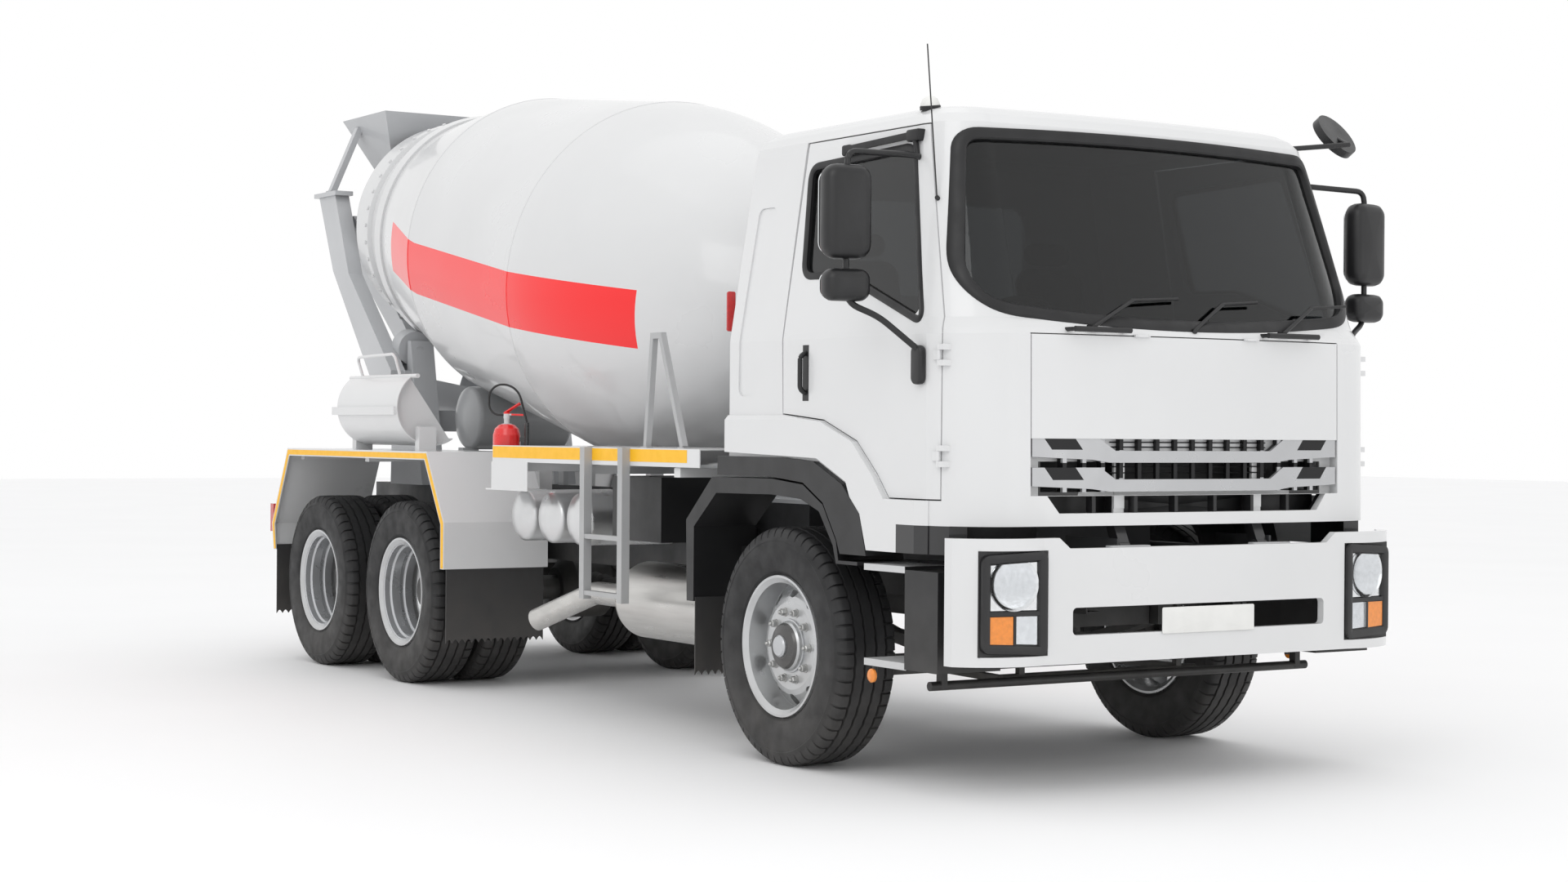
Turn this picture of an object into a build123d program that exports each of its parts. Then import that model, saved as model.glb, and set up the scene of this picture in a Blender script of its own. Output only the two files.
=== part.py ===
"""Concrete mixer truck: a 6x4 cab-over chassis with a tilted drum, at full size.

Frame: millimetres, +X forward, +Y to the truck's left, +Z up. The origin lies on the ground,
under the middle of the overall length.
"""

from build123d import *
from math import cos, radians, sin
import os

os.makedirs("parts", exist_ok=True)

# Chassis and wheels
front_axle_x = 2780
wheelbase = 4310
tandem_spacing = 1310
tyre_radius = 542
tyre_width = 312
rim_radius = 325
wheel_plane_y = 1235
twin_gap = 34
fit_gap = 0.3

frame_half_width = 425
rail_height = 280
rail_width = 80
rail_web = 10
rail_top = 1020
sill_height = 130
frame_front_x = front_axle_x + 1225
frame_rear_x = front_axle_x - 6650

# Overall ends
front_end_x = front_axle_x + 1500
rear_end_x = front_axle_x - 7060

# Cab
cab_front = 1455
cab_rear = -540
cab_half_width = 1205
cab_wall = 55
cab_sill_z = 1010
cab_belt_z = 1930
cab_floor_z = 1450
cab_floor_thickness = 50
cab_shoulder_z = 2800
cab_roof_z = 2930
door_gap = 6
door_swing_gap = 14
glass_thickness = 6
glass_inset = 16
tilt_x = front_axle_x + 1415
tilt_z = 1035
tilt_eye_radius = 30
tilt_pin_radius = 22

# Drum
drum_tilt = 9.7
drum_x = front_axle_x - 3220
drum_z = 2388
drum_radius = 1055
drum_rear_radius = 973
track_radius = 800
track_station = 2520
roller_radius = 115
roller_y = 500

# Chute at the rear
chute_x = front_axle_x - 6720
chute_pin_z = 1610

# Bodywork
fender_y = 1240
deck_z = 1430
sheet = 6

rear_axle_1_x = front_axle_x - wheelbase
rear_axle_2_x = rear_axle_1_x - tandem_spacing
tyre_y = wheel_plane_y - tyre_width / 2
inner_tyre_y = tyre_y - tyre_width - twin_gap
rail_bottom = rail_top - rail_height
crossmember_z = rail_bottom + 140
sill_top = rail_top + sill_height
rail_outer_y = frame_half_width
rail_inner_y = frame_half_width - rail_width
sides = {"right": -1, "left": 1}


def finish_piece(builder, name):
    """Label a finished piece and write its file."""
    builder.part.label = name
    export_step(builder.part, f"parts/{name}.step")


def at(x):
    """An X position, from a distance ahead of the front axle."""
    return front_axle_x + x


def block(x_range, y_range, z_range, mode=Mode.ADD):
    """A block between the given limits."""
    (x0, x1), (y0, y1), (z0, z1) = x_range, y_range, z_range
    with Locations(((x0 + x1) / 2, (y0 + y1) / 2, (z0 + z1) / 2)):
        Box(abs(x1 - x0), abs(y1 - y0), abs(z1 - z0), mode=mode)


def rod(start, end, radius, mode=Mode.ADD):
    """A round bar from one point to another."""
    path = Vector(*end) - Vector(*start)
    with BuildSketch(Plane(origin=start, z_dir=path)) as section:
        Circle(radius)
    extrude(section.sketch, amount=path.length, mode=mode)


def box_bar(start, end, width, depth, mode=Mode.ADD):
    """A square-edged bar from one point to another, its width level where it can be."""
    path = Vector(*end) - Vector(*start)
    level = Vector(0, 1, 0) if abs(path.normalized().Y) < 0.9 else Vector(1, 0, 0)
    with BuildSketch(Plane(origin=start, x_dir=level, z_dir=path)) as section:
        Rectangle(width, depth)
    extrude(section.sketch, amount=path.length, mode=mode)


def side_shape(points, y_range, mode=Mode.ADD):
    """A plate with the given outline seen from the side, between two widths."""
    y0, y1 = y_range
    with BuildSketch(Plane.XZ.offset(-y0)) as outline:
        with BuildLine():
            Polyline(*points, close=True)
        make_face()
    extrude(outline.sketch, amount=-(y1 - y0), mode=mode)


def turned(points, origin, direction, mode=Mode.ADD):
    """A turned shape. The points are (station along the direction, radius)."""
    direction = Vector(*direction).normalized()
    across = Vector(0, 0, 1) if abs(direction.Z) < 0.9 else Vector(1, 0, 0)
    side = direction.cross(across).normalized()
    with BuildSketch(Plane(origin=origin, x_dir=direction, z_dir=side)) as profile:
        with BuildLine():
            Polyline(*points, close=True)
        make_face()
    revolve(profile.sketch, axis=Axis(origin, direction), mode=mode)


def domed_tank(centre, half, radius, dome):
    """A round tank lying across the truck, with domed ends."""
    with BuildSketch(Plane(origin=centre, x_dir=(0, 1, 0), z_dir=(1, 0, 0))) as profile:
        with BuildLine():
            Line((-half, 0), (half, 0))
            crown_right = ThreePointArc((half, 0), (half - dome * 0.16, radius * 0.5), (half - dome * 0.6, radius * 0.9))
            TangentArc(crown_right @ 1, (half - dome, radius), tangent=crown_right % 1)
            Line((half - dome, radius), (dome - half, radius))
            crown_left = ThreePointArc((-half, 0), (dome * 0.16 - half, radius * 0.5), (dome * 0.6 - half, radius * 0.9))
            TangentArc(crown_left @ 1, (dome - half, radius), tangent=crown_left % 1)
        make_face()
    revolve(profile.sketch, axis=Axis(centre, (0, 1, 0)))


def tube(points, radius, bend, mode=Mode.ADD):
    """A bent round tube along the given points."""
    with BuildLine() as path:
        if len(points) > 2:
            FilletPolyline(*points, radius=bend)
        else:
            Line(*points)
    route = path.wire()
    with BuildSketch(Plane(origin=route @ 0, z_dir=route % 0)) as section:
        Circle(radius)
    sweep(section.sketch, path=route, mode=mode)


# Frame

with BuildPart() as chassis_frame:
    for side in (-1, 1):
        block((frame_rear_x, frame_front_x), (side * rail_inner_y, side * rail_outer_y), (rail_bottom, rail_top))
        block(
            (frame_rear_x - 10, frame_front_x + 10),
            (side * (rail_inner_y - 1), side * (rail_outer_y - rail_web)),
            (rail_bottom + 10, rail_top - 10),
            mode=Mode.SUBTRACT,
        )
        block((frame_rear_x + 60, at(-1000)), (side * rail_inner_y, side * rail_outer_y), (rail_top, sill_top))
    for x in (1170, -1700, -2600, -3500, -4965, -6100, -6600):
        block((at(x) - 30, at(x) + 30), (-rail_outer_y + rail_web, rail_outer_y - rail_web), (crossmember_z, rail_top - 40))
    for x in (-1300, -2100, -3000, -3900, -4800, -5700, -6450):
        block((at(x) - 35, at(x) + 35), (-rail_inner_y, rail_inner_y), (rail_top + 20, sill_top - 10))
    for side in (-1, 1):
        block(
            (frame_front_x - 130, tilt_x + tilt_eye_radius),
            (side * rail_outer_y, side * (rail_outer_y + 12)),
            (rail_top - 110, tilt_z + 40),
        )
        rod((tilt_x, side * 358, tilt_z), (tilt_x, side * (rail_outer_y + 12), tilt_z), tilt_pin_radius)
        block((at(-500), at(-420)), (side * rail_inner_y, side * rail_outer_y),
              (rail_top, cab_floor_z - cab_floor_thickness - fit_gap))
    with Locations((frame_rear_x - 50, 0, rail_bottom + 140)):
        Box(100, 760, 200)
    block((chute_x - 90, frame_rear_x + 20), (-120, 120), (rail_top - 40, rail_top))
    with Locations((frame_rear_x - 130, 0, rail_bottom + 140)):
        Box(80, 130, 60)
    rod((frame_rear_x - 140, 0, rail_bottom + 100), (frame_rear_x - 140, 0, rail_bottom + 180), 20, Mode.SUBTRACT)
finish_piece(chassis_frame, "chassis_frame")


# Axles, springs and drive

king_pin_y = 930
king_pin_radius = 28
axle_eye_radius = 55
axle_eye_half = 70
spindle_radius = 45

with BuildPart() as front_axle:
    centre_z = tyre_radius - 110
    box_bar((at(0), -650, centre_z), (at(0), 650, centre_z), 90, 90)
    for side in (-1, 1):
        with BuildSketch(Plane.YZ.offset(at(0) - 45)) as arm:
            with BuildLine():
                Polyline(
                    (side * 560, centre_z - 45),
                    (side * 680, centre_z - 45),
                    (side * (king_pin_y - 60), tyre_radius - axle_eye_half + 6),
                    (side * (king_pin_y - 30), tyre_radius - axle_eye_half + 6),
                    (side * (king_pin_y - 30), tyre_radius + axle_eye_half),
                    (side * 620, centre_z + 45),
                    (side * 560, centre_z + 45),
                    close=True,
                )
            make_face()
        extrude(arm.sketch, amount=90)
        with Locations((at(0), side * king_pin_y, tyre_radius)):
            Cylinder(axle_eye_radius, 2 * axle_eye_half)
            Cylinder(king_pin_radius + fit_gap, 2 * axle_eye_half, mode=Mode.SUBTRACT)
finish_piece(front_axle, "front_axle")

fork_gap = 2
fork_thickness = 40
arm_end_x = -170
arm_end_y = king_pin_y
tie_rod_z = tyre_radius - axle_eye_half - fork_gap - fork_thickness - 30

for name, side in sides.items():
    with BuildPart() as knuckle:
        low = tyre_radius - axle_eye_half - fork_gap - fork_thickness
        high = tyre_radius + axle_eye_half + fork_gap + fork_thickness
        rod((at(0), side * king_pin_y, low), (at(0), side * king_pin_y, high), king_pin_radius)
        for z in (low, high - fork_thickness):
            with Locations((at(0), side * king_pin_y, z + fork_thickness / 2)):
                Cylinder(axle_eye_radius, fork_thickness)
            block((at(-50), at(50)), (side * king_pin_y, side * 1010), (z, z + fork_thickness))
        block((at(-50), at(50)), (side * 990, side * 1013), (low, high))
        rod((at(0), side * 1010, tyre_radius), (at(0), side * 1165, tyre_radius), spindle_radius)
        box_bar(
            (at(-20), side * king_pin_y, low + 10), (at(arm_end_x), side * arm_end_y, low + 10), 40, 36
        )
        rod((at(arm_end_x), side * arm_end_y, tie_rod_z - 20), (at(arm_end_x), side * arm_end_y, low + 30), 14)
    finish_piece(knuckle, f"knuckle_{name}")

with BuildPart() as tie_rod:
    rod((at(arm_end_x), -arm_end_y, tie_rod_z), (at(arm_end_x), arm_end_y, tie_rod_z), 18)
    for side in (-1, 1):
        with Locations((at(arm_end_x), side * arm_end_y, tie_rod_z)):
            Cylinder(32, 40)
            Cylinder(14 + fit_gap, 60, mode=Mode.SUBTRACT)
finish_piece(tie_rod, "tie_rod")

rear_spindle_y = 720
diff_radius = 190
axle_tube_radius = 75
rear_spindle_radius = 55

with BuildPart() as rear_axles:
    for x in (rear_axle_1_x, rear_axle_2_x):
        rod((x, -rear_spindle_y, tyre_radius), (x, rear_spindle_y, tyre_radius), axle_tube_radius)
        for side in (-1, 1):
            rod((x, side * rear_spindle_y, tyre_radius), (x, side * 1010, tyre_radius), rear_spindle_radius)
        turned(
            ((-190, 0), (-190, 120), (-120, diff_radius), (120, diff_radius), (190, 120), (190, 0)),
            (x, 0, tyre_radius),
            (0, 1, 0),
        )
        turned(((0, 0), (0, 130), (230, 75), (290, 75), (290, 0)), (x, 0, tyre_radius), (1, 0, 0.05))
finish_piece(rear_axles, "rear_axles")

spring_y = 385
spring_seat_z = tyre_radius - 110 + 45 + fit_gap
with BuildPart() as suspension:
    for side in (-1, 1):
        y_range = (side * (spring_y - 45), side * (spring_y + 45))
        side_shape(
            (
                (at(-780), 660), (at(-300), 520), (at(0), spring_seat_z), (at(300), 520), (at(780), 660), (at(780), 690),
                (at(300), 570), (at(0), 545), (at(-300), 570), (at(-780), 690),
            ),
            y_range,
        )
        for x in (-760, 760):
            block((at(x) - 40, at(x) + 40), y_range, (640, rail_bottom))
        block((at(-70), at(70)), (side * (spring_y - 55), side * (spring_y + 55)), (spring_seat_z, 600))
    middle_x = (rear_axle_1_x + rear_axle_2_x) / 2
    for side in (-1, 1):
        y_range = (side * 432, side * 522)
        side_shape(
            (
                (rear_axle_2_x - 90, 622), (rear_axle_1_x + 90, 622), (rear_axle_1_x + 90, 655),
                (middle_x + 150, 760), (middle_x - 150, 760), (rear_axle_2_x - 90, 655),
            ),
            y_range,
        )
        block((middle_x - 120, middle_x + 120), (side * (rail_outer_y + fit_gap), side * 515), (755, 880))
        for x in (rear_axle_1_x, rear_axle_2_x):
            block((x - 70, x + 70), y_range, (tyre_radius + axle_tube_radius + fit_gap, 630))
        rod((middle_x, side * 260, 640), (middle_x, side * 520, 640), 55)
    for x in (rear_axle_1_x, rear_axle_2_x):
        end_x = middle_x + (20 if x > middle_x else -20)
        rod((x, 0, tyre_radius + diff_radius + fit_gap + 30), (end_x, 0, crossmember_z - fit_gap - 30), 30)
    rod((at(800), -560, 430), (at(800), 560, 430), 22)
    for side in (-1, 1):
        box_bar((at(800), side * 550, 430), (at(56), side * 480, 430), 40, 30)
        block((at(785), at(815)), (side * 440, side * 470), (430, rail_bottom + 60))
        block((at(785), at(815)), (side * (rail_outer_y + fit_gap), side * 470), (rail_bottom + 20, rail_bottom + 60))
finish_piece(suspension, "suspension")

with BuildPart() as driveline:
    block((at(-750), at(750)), (-330, 330), (640, 1330))
    for side in (-1, 1):
        for x in (-620, 560):
            block((at(x) - 50, at(x) + 50), (side * 325, side * (rail_outer_y - rail_web - fit_gap)), (850, 900))
    block((at(-1500), at(-750)), (-210, 210), (660, 1000))
    rod((at(-1500), 0, 820), (rear_axle_1_x + 300, 0, tyre_radius + 14), 50)
finish_piece(driveline, "driveline")


# Wheels

def tyre_profile():
    """A tyre's section as (station, radius), closed along the bead."""
    half = tyre_width / 2
    points = [
        (-half + 44, rim_radius - 20), (-half + 26, rim_radius), (-half + 6, rim_radius + 50),
        (-half, rim_radius + 105), (-half + 6, tyre_radius - 50), (-half + 22, tyre_radius - 12),
        (-half + 36, tyre_radius - 1), (-half + 60, tyre_radius),
    ]
    mirrored = [(-station, radius) for station, radius in reversed(points)]
    return points + mirrored


def rim_ring(inner):
    """The rim's barrel section as (station, radius)."""
    half = tyre_width / 2
    return [
        (-half + 44, rim_radius - 20 - fit_gap), (-half + 25.8, rim_radius - fit_gap), (-half + 14, rim_radius - 3),
        (-half + 14, rim_radius - 14), (-half + 30, rim_radius - inner), (half - 30, rim_radius - inner),
        (half - 14, rim_radius - 14), (half - 14, rim_radius - 3), (half - 25.8, rim_radius - fit_gap),
        (half - 44, rim_radius - 20 - fit_gap),
    ]


hand_holes = 10
for name, side in sides.items():
    centre = (at(0), side * tyre_y, tyre_radius)
    outward = (0, side, 0)
    with BuildPart() as tyre:
        turned(tyre_profile(), centre, outward)
    finish_piece(tyre, f"tyre_front_{name}")
    with BuildPart() as rim:
        turned(rim_ring(36), centre, outward)
        turned(((20, rim_radius - 30), (20, 288), (70, 225), (78, 200), (78, 110), (64, 110), (64, 200),
                (56, 218), (2, 288), (2, rim_radius - 30)), centre, outward)
        turned(((-60, spindle_radius + fit_gap), (-60, 140), (40, 140), (66, 120), (100, 112), (122, 96), (134, 60),
                (134, 0), (86.3, 0), (86.3, spindle_radius + fit_gap)), centre, outward)
        turned(((-60, 139), (-60, 175), (50, 175), (64, 150), (64, 110), (40, 110)), centre, outward)
        with Locations(Plane(origin=centre, z_dir=outward)):
            with PolarLocations(247, hand_holes):
                Cylinder(27, 400, mode=Mode.SUBTRACT)
    finish_piece(rim, f"rim_front_{name}")

for row, axle_x in (("middle", rear_axle_1_x), ("rear", rear_axle_2_x)):
    for name, side in sides.items():
        outer = (axle_x, side * tyre_y, tyre_radius)
        inner = (axle_x, side * inner_tyre_y, tyre_radius)
        mate = (tyre_y - inner_tyre_y) / 2
        outward = (0, side, 0)
        with BuildPart() as tyres:
            for centre in (outer, inner):
                turned(tyre_profile(), centre, outward)
        finish_piece(tyres, f"tyres_{row}_{name}")
        with BuildPart() as rims:
            for centre, way in ((outer, side), (inner, -side)):
                turned(rim_ring(36), centre, (0, way, 0))
                turned(
                    ((-90, rim_radius - 34), (-90, 280), (-mate + 16, 235), (-mate + 12, 215), (-mate + 12, 110),
                     (-mate, 110), (-mate, 215), (-mate, 240), (-106, 286), (-106, rim_radius - 34)),
                    centre,
                    (0, way, 0),
                )
            middle = (axle_x, side * (tyre_y + inner_tyre_y) / 2, tyre_radius)
            turned(
                ((-110, rear_spindle_radius + fit_gap), (-110, 205), (-12, 205), (-12, 165), (60, 140), (130, 120),
                 (165, 95), (165, 0), (110, 0), (110, rear_spindle_radius + fit_gap)),
                middle,
                outward,
            )
            with Locations(Plane(origin=middle, z_dir=outward)):
                with PolarLocations(247, hand_holes):
                    Cylinder(24, 160, mode=Mode.SUBTRACT)
        finish_piece(rims, f"rims_{row}_{name}")


# Cab

roof_steps = (20, 40, 58, 74, 90)


def roof_level(angle):
    """One level of the rounded roof edge, a quarter ellipse from the shoulder to the flat roof."""
    rise = sin(radians(angle))
    draw_in = 1 - cos(radians(angle))
    return (
        cab_shoulder_z + (cab_roof_z - cab_shoulder_z) * rise,
        cab_front - 330 - 200 * draw_in,
        cab_half_width - 140 - 160 * draw_in,
        230 - 40 * draw_in,
        cab_rear + 130 * draw_in,
    )


cab_levels = (
    # height, front, half width, corner depth, rear
    (cab_sill_z, cab_front, cab_half_width, 320, cab_rear),
    (cab_belt_z, cab_front - 10, cab_half_width, 320, cab_rear),
    (cab_belt_z + 26, cab_front - 28, cab_half_width - 3, 317, cab_rear),
    (cab_belt_z + 70, cab_front - 70, cab_half_width - 10, 310, cab_rear),
    (cab_shoulder_z, cab_front - 330, cab_half_width - 140, 230, cab_rear),
    *(roof_level(angle) for angle in roof_steps),
)


def cab_section(height, front, half, corner, rear, inset):
    """One level outline of the cab, drawn in by an inset."""
    front = at(front) - inset
    rear = at(rear) + inset
    half = half - inset
    flat = half - corner * 0.95
    sag = 45
    cut = 60
    with BuildSketch(Plane.XY.offset(height)) as section:
        with BuildLine():
            Line((rear + cut, half), (front - corner, half))
            ThreePointArc((front - corner, half), (front - corner * 0.40, half - corner * 0.32), (front - sag, flat))
            ThreePointArc((front - sag, flat), (front, 0), (front - sag, -flat))
            ThreePointArc((front - sag, -flat), (front - corner * 0.40, -half + corner * 0.32), (front - corner, -half))
            Line((front - corner, -half), (rear + cut, -half))
            Line((rear + cut, -half), (rear, -half + cut))
            Line((rear, -half + cut), (rear, half - cut))
            Line((rear, half - cut), (rear + cut, half))
        make_face()
    return section.sketch


def cab_volume(inset, floor=None, roof_inset=None, mode=Mode.ADD):
    """The cab's outer form, drawn in by an inset, as a stack of ruled sections."""
    top_cut = inset if roof_inset is None else roof_inset
    levels = [list(level) for level in cab_levels]
    levels[-1][0] -= top_cut
    levels[-2][0] -= top_cut
    if floor is not None:
        levels[0][0] = floor
    loft([cab_section(*level, inset) for level in levels], ruled=True, mode=mode)


lid_hinge_x = at(1450)
lid_hinge_z = 1934
lid_hinge_y = (280, 340)
lid_pin_radius = 3
lid_knuckle_radius = 6
door_hinge_x = at(1208)
door_hinge_y = 1200
door_hinge_z = (1420, 1840)
door_front_x = at(1205)
door_rear_x = at(0)
door_bottom_z = 1240
door_outline = (
    (door_front_x, door_bottom_z), (door_front_x, cab_belt_z), (at(925), 2835), (at(-20), 2835),
    (door_rear_x, 1600), (at(340), 1572), (at(610), 1480), (at(770), 1340), (at(860), door_bottom_z),
)
door_opening = tuple(
    (x - door_swing_gap, z) if (x, z) == (at(-20), 2835) else (x, z) for x, z in door_outline
)
window_outline = (
    (at(90), 2217), (at(430), 2210), (at(1085), 1975), (at(845), 2750), (at(20), 2725),
)
screen_half_bottom = 1090
screen_half_top = 985


def side_prism(points, grow, side, mode):
    """A prism across one side of the cab, its outline seen from the side and moved out by a gap."""
    with BuildSketch(Plane.XZ.offset(-side * 700)) as outline:
        with BuildLine():
            Polyline(*points, close=True)
        make_face()
        if grow:
            offset(amount=grow, kind=Kind.INTERSECTION)
    extrude(outline.sketch, amount=-side * 700, mode=mode)


def window_prism(grow, side, mode):
    """The door window's prism, with rounded corners."""
    with BuildSketch(Plane.XZ.offset(-side * 700)) as outline:
        with BuildLine():
            Polyline(*window_outline, close=True)
        make_face()
        fillet(outline.vertices(), 55)
        offset(amount=grow, kind=Kind.ARC)
    extrude(outline.sketch, amount=-side * 700, mode=mode)


def screen_prism(grow, mode):
    """The windscreen's prism along X: a bowed sill, upright sides and rounded corners."""
    with BuildSketch(Plane.YZ.offset(at(600))) as outline:
        with BuildLine():
            Line((-screen_half_bottom, 2240), (-screen_half_top, 2790))
            ThreePointArc((-screen_half_top, 2790), (0, 2805), (screen_half_top, 2790))
            Line((screen_half_top, 2790), (screen_half_bottom, 2240))
            ThreePointArc((screen_half_bottom, 2240), (1060, 2110), (900, 2030))
            ThreePointArc((900, 2030), (0, 1985), (-900, 2030))
            ThreePointArc((-900, 2030), (-1060, 2110), (-screen_half_bottom, 2240))
        make_face()
        offset(amount=grow, kind=Kind.ARC)
    extrude(outline.sketch, amount=1000, mode=mode)


def rear_window_prism(grow, mode):
    """The window in the cab's back wall."""
    with BuildSketch(Plane.YZ.offset(at(cab_rear) - 100)) as outline:
        with Locations((0, 2420)):
            RectangleRounded(1100, 460, 80)
        offset(amount=grow, kind=Kind.ARC)
    extrude(outline.sketch, amount=300, mode=mode)


arch_cut = (
    (at(-800), 900), (at(-800), 1400), (at(0), 1400), (at(300), 1385), (at(530), 1290), (at(670), 1165),
    (at(760), 900),
)
lid_bottom_z = 1262
lid_top_z = 1931
lid_half = 866
grille_top_z = 1496
lid_thickness = 40

with BuildPart() as lid_recess:
    cab_volume(0)
    cab_volume(lid_thickness + 5, mode=Mode.SUBTRACT)
    block((at(1250), at(1600)), (-lid_half - 5, lid_half + 5), (lid_bottom_z - 5, lid_top_z + 5), mode=Mode.INTERSECT)



def slot_prism(grow, mode):
    """The long slot low in the front panel."""
    with BuildSketch(Plane.YZ.offset(at(1300))) as outline:
        with BuildLine():
            Polyline((-790, 1256), (790, 1256), (730, 1183), (-730, 1183), close=True)
        make_face()
        if grow:
            offset(amount=grow, kind=Kind.INTERSECTION)
    extrude(outline.sketch, amount=300, mode=mode)


with BuildPart() as rib_outlines:
    for side in (-1, 1):
        with BuildSketch(Plane.XZ.offset(-side * 700)) as outline:
            with BuildLine():
                Polyline((at(-400), 1680), (at(-250), 1680), (at(-225), 2560), (at(-385), 2560), close=True)
            make_face()
            fillet(outline.vertices(), 40)
        extrude(outline.sketch, amount=-side * 700)

rib_depth = 8
with BuildPart() as rib_recess:
    cab_volume(-1)
    cab_volume(rib_depth, mode=Mode.SUBTRACT)
    add(rib_outlines.part, mode=Mode.INTERSECT)

with BuildPart() as rib_bars:
    for y in range(-550, 551, 220):
        block((at(1300), at(1500)), (y - 9, y + 9), (1183 + fit_gap, 1256 - fit_gap))

with BuildPart() as slot_ribs:
    cab_volume(rib_depth)
    cab_volume(cab_wall - rib_depth, mode=Mode.SUBTRACT)
    add(rib_bars.part, mode=Mode.INTERSECT)


arch_panel_y = 1232
arch_panel = (
    (at(cab_rear) + 60, 1420), (at(cab_rear) + 60, 1592), (at(0), 1592), (at(340), 1564), (at(606), 1474),
    (at(762), 1334), (at(850), 1234), (at(1150), 1234), (at(1150), 1010), (at(700), 1010), (at(560), 1300), (at(320), 1400),
)
with BuildPart() as arch_shoulders:
    for side in (-1, 1):
        with BuildSketch(Plane.YZ.offset(at(cab_rear) - 10)) as chamfer_face:
            with BuildLine():
                Polyline((side * cab_half_width, 1600), (side * (arch_panel_y + 5), 1600),
                         (side * (arch_panel_y + 5), 1565), close=True)
            make_face()
        extrude(chamfer_face.sketch, amount=700)
        with BuildSketch(Plane.XY.offset(1000)) as front_taper:
            with BuildLine():
                Polyline((at(1080), side * (arch_panel_y + 1)), (at(1155), side * (cab_half_width + 1)),
                         (at(1155), side * (arch_panel_y + 1)), close=True)
            make_face()
        extrude(front_taper.sketch, amount=300)

cab_arm_y = (362, 418)
with BuildPart() as cab_shell:
    cab_volume(0)
    cab_volume(cab_wall, floor=cab_floor_z, mode=Mode.SUBTRACT)
    under_levels = [list(cab_levels[0]), list(cab_levels[0])]
    under_levels[0][0] = cab_sill_z - 10
    under_levels[1][0] = cab_floor_z - cab_floor_thickness
    loft([cab_section(*level, cab_wall) for level in under_levels], ruled=True, mode=Mode.SUBTRACT)
    block((at(-600), at(-400)), (-1300, 1300), (900, cab_floor_z - cab_floor_thickness), mode=Mode.SUBTRACT)
    block((at(1245), at(1600)), (-1300, 1300), (900, 1130), mode=Mode.SUBTRACT)
    for side in (-1, 1):
        side_shape(arch_panel, (side * (cab_half_width - 20), side * arch_panel_y))
    add(arch_shoulders.part, mode=Mode.SUBTRACT)
    for side in (-1, 1):
        side_shape(arch_cut, (side * 700, side * 1400), mode=Mode.SUBTRACT)
        side_prism(door_opening, door_gap, side, Mode.SUBTRACT)
    add(rib_recess.part, mode=Mode.SUBTRACT)
    screen_prism(0, Mode.SUBTRACT)
    rear_window_prism(0, Mode.SUBTRACT)
    add(lid_recess.part, mode=Mode.SUBTRACT)
    slot_prism(0, Mode.SUBTRACT)
    block((at(1300), at(1600)), (-790, 790), (lid_bottom_z + 10, cab_floor_z - cab_floor_thickness), mode=Mode.SUBTRACT)
    for side in (-1, 1):
        inner, outer = (side * y for y in cab_arm_y)
        side_shape(
            (
                (at(1395), 1255), (at(1398), 1135), (tilt_x + tilt_eye_radius, tilt_z), (tilt_x, tilt_z),
                (tilt_x - tilt_eye_radius, tilt_z), (at(1345), 1135), (at(1340), 1255),
            ),
            (inner, outer),
        )
        rod((tilt_x, inner, tilt_z), (tilt_x, outer, tilt_z), tilt_eye_radius)
        block((at(1340), at(1400)), (inner, outer), (1200, 1405))
        rod((tilt_x, inner - side, tilt_z), (tilt_x, outer + side, tilt_z), tilt_pin_radius + fit_gap, Mode.SUBTRACT)
        for z in door_hinge_z:
            rod((door_hinge_x, side * door_hinge_y, z - 45), (door_hinge_x, side * door_hinge_y, z + 45), 4.5)
            for low, high in ((z - 45, z - 21), (z + 21, z + 45)):
                rod((door_hinge_x, side * door_hinge_y, low), (door_hinge_x, side * door_hinge_y, high), 8)
                block((door_hinge_x, door_hinge_x + 38), (side * 1160, side * (door_hinge_y + 4)), (low, high))
        inner, outer = (side * y for y in lid_hinge_y)
        rod((lid_hinge_x, inner - side * 10, lid_hinge_z), (lid_hinge_x, outer + side * 10, lid_hinge_z), lid_pin_radius)
        for start in (inner - side * 10, outer + side * 2):
            rod((lid_hinge_x, start, lid_hinge_z), (lid_hinge_x, start + side * 8, lid_hinge_z), lid_knuckle_radius)
            block((lid_hinge_x - 20, lid_hinge_x), (start, start + side * 8), (lid_hinge_z + 2.5, lid_hinge_z + 6))
finish_piece(cab_shell, "cab_shell")

with BuildPart() as panes:
    screen_prism(-fit_gap, Mode.ADD)
    rear_window_prism(-fit_gap, Mode.ADD)

with BuildPart() as cab_glass:
    cab_volume(glass_inset)
    cab_volume(glass_inset + glass_thickness, mode=Mode.SUBTRACT)
    add(panes.part, mode=Mode.INTERSECT)
finish_piece(cab_glass, "cab_glass")

with BuildPart() as front_lid:
    cab_volume(0)
    cab_volume(lid_thickness, mode=Mode.SUBTRACT)
    block((at(1250), at(1600)), (-lid_half, lid_half), (grille_top_z + fit_gap, lid_top_z), mode=Mode.INTERSECT)
    for side in (-1, 1):
        inner, outer = (side * y for y in lid_hinge_y)
        rod((lid_hinge_x, inner, lid_hinge_z), (lid_hinge_x, outer, lid_hinge_z), lid_knuckle_radius)
        block((lid_hinge_x - 22, lid_hinge_x), (inner, outer), (lid_hinge_z - 6, lid_hinge_z - 3.2))
        rod((lid_hinge_x, inner - side, lid_hinge_z), (lid_hinge_x, outer + side, lid_hinge_z),
            lid_pin_radius + fit_gap, Mode.SUBTRACT)
finish_piece(front_lid, "front_lid")

with BuildPart() as grille_skin:
    cab_volume(4)
    cab_volume(lid_thickness, mode=Mode.SUBTRACT)

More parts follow.
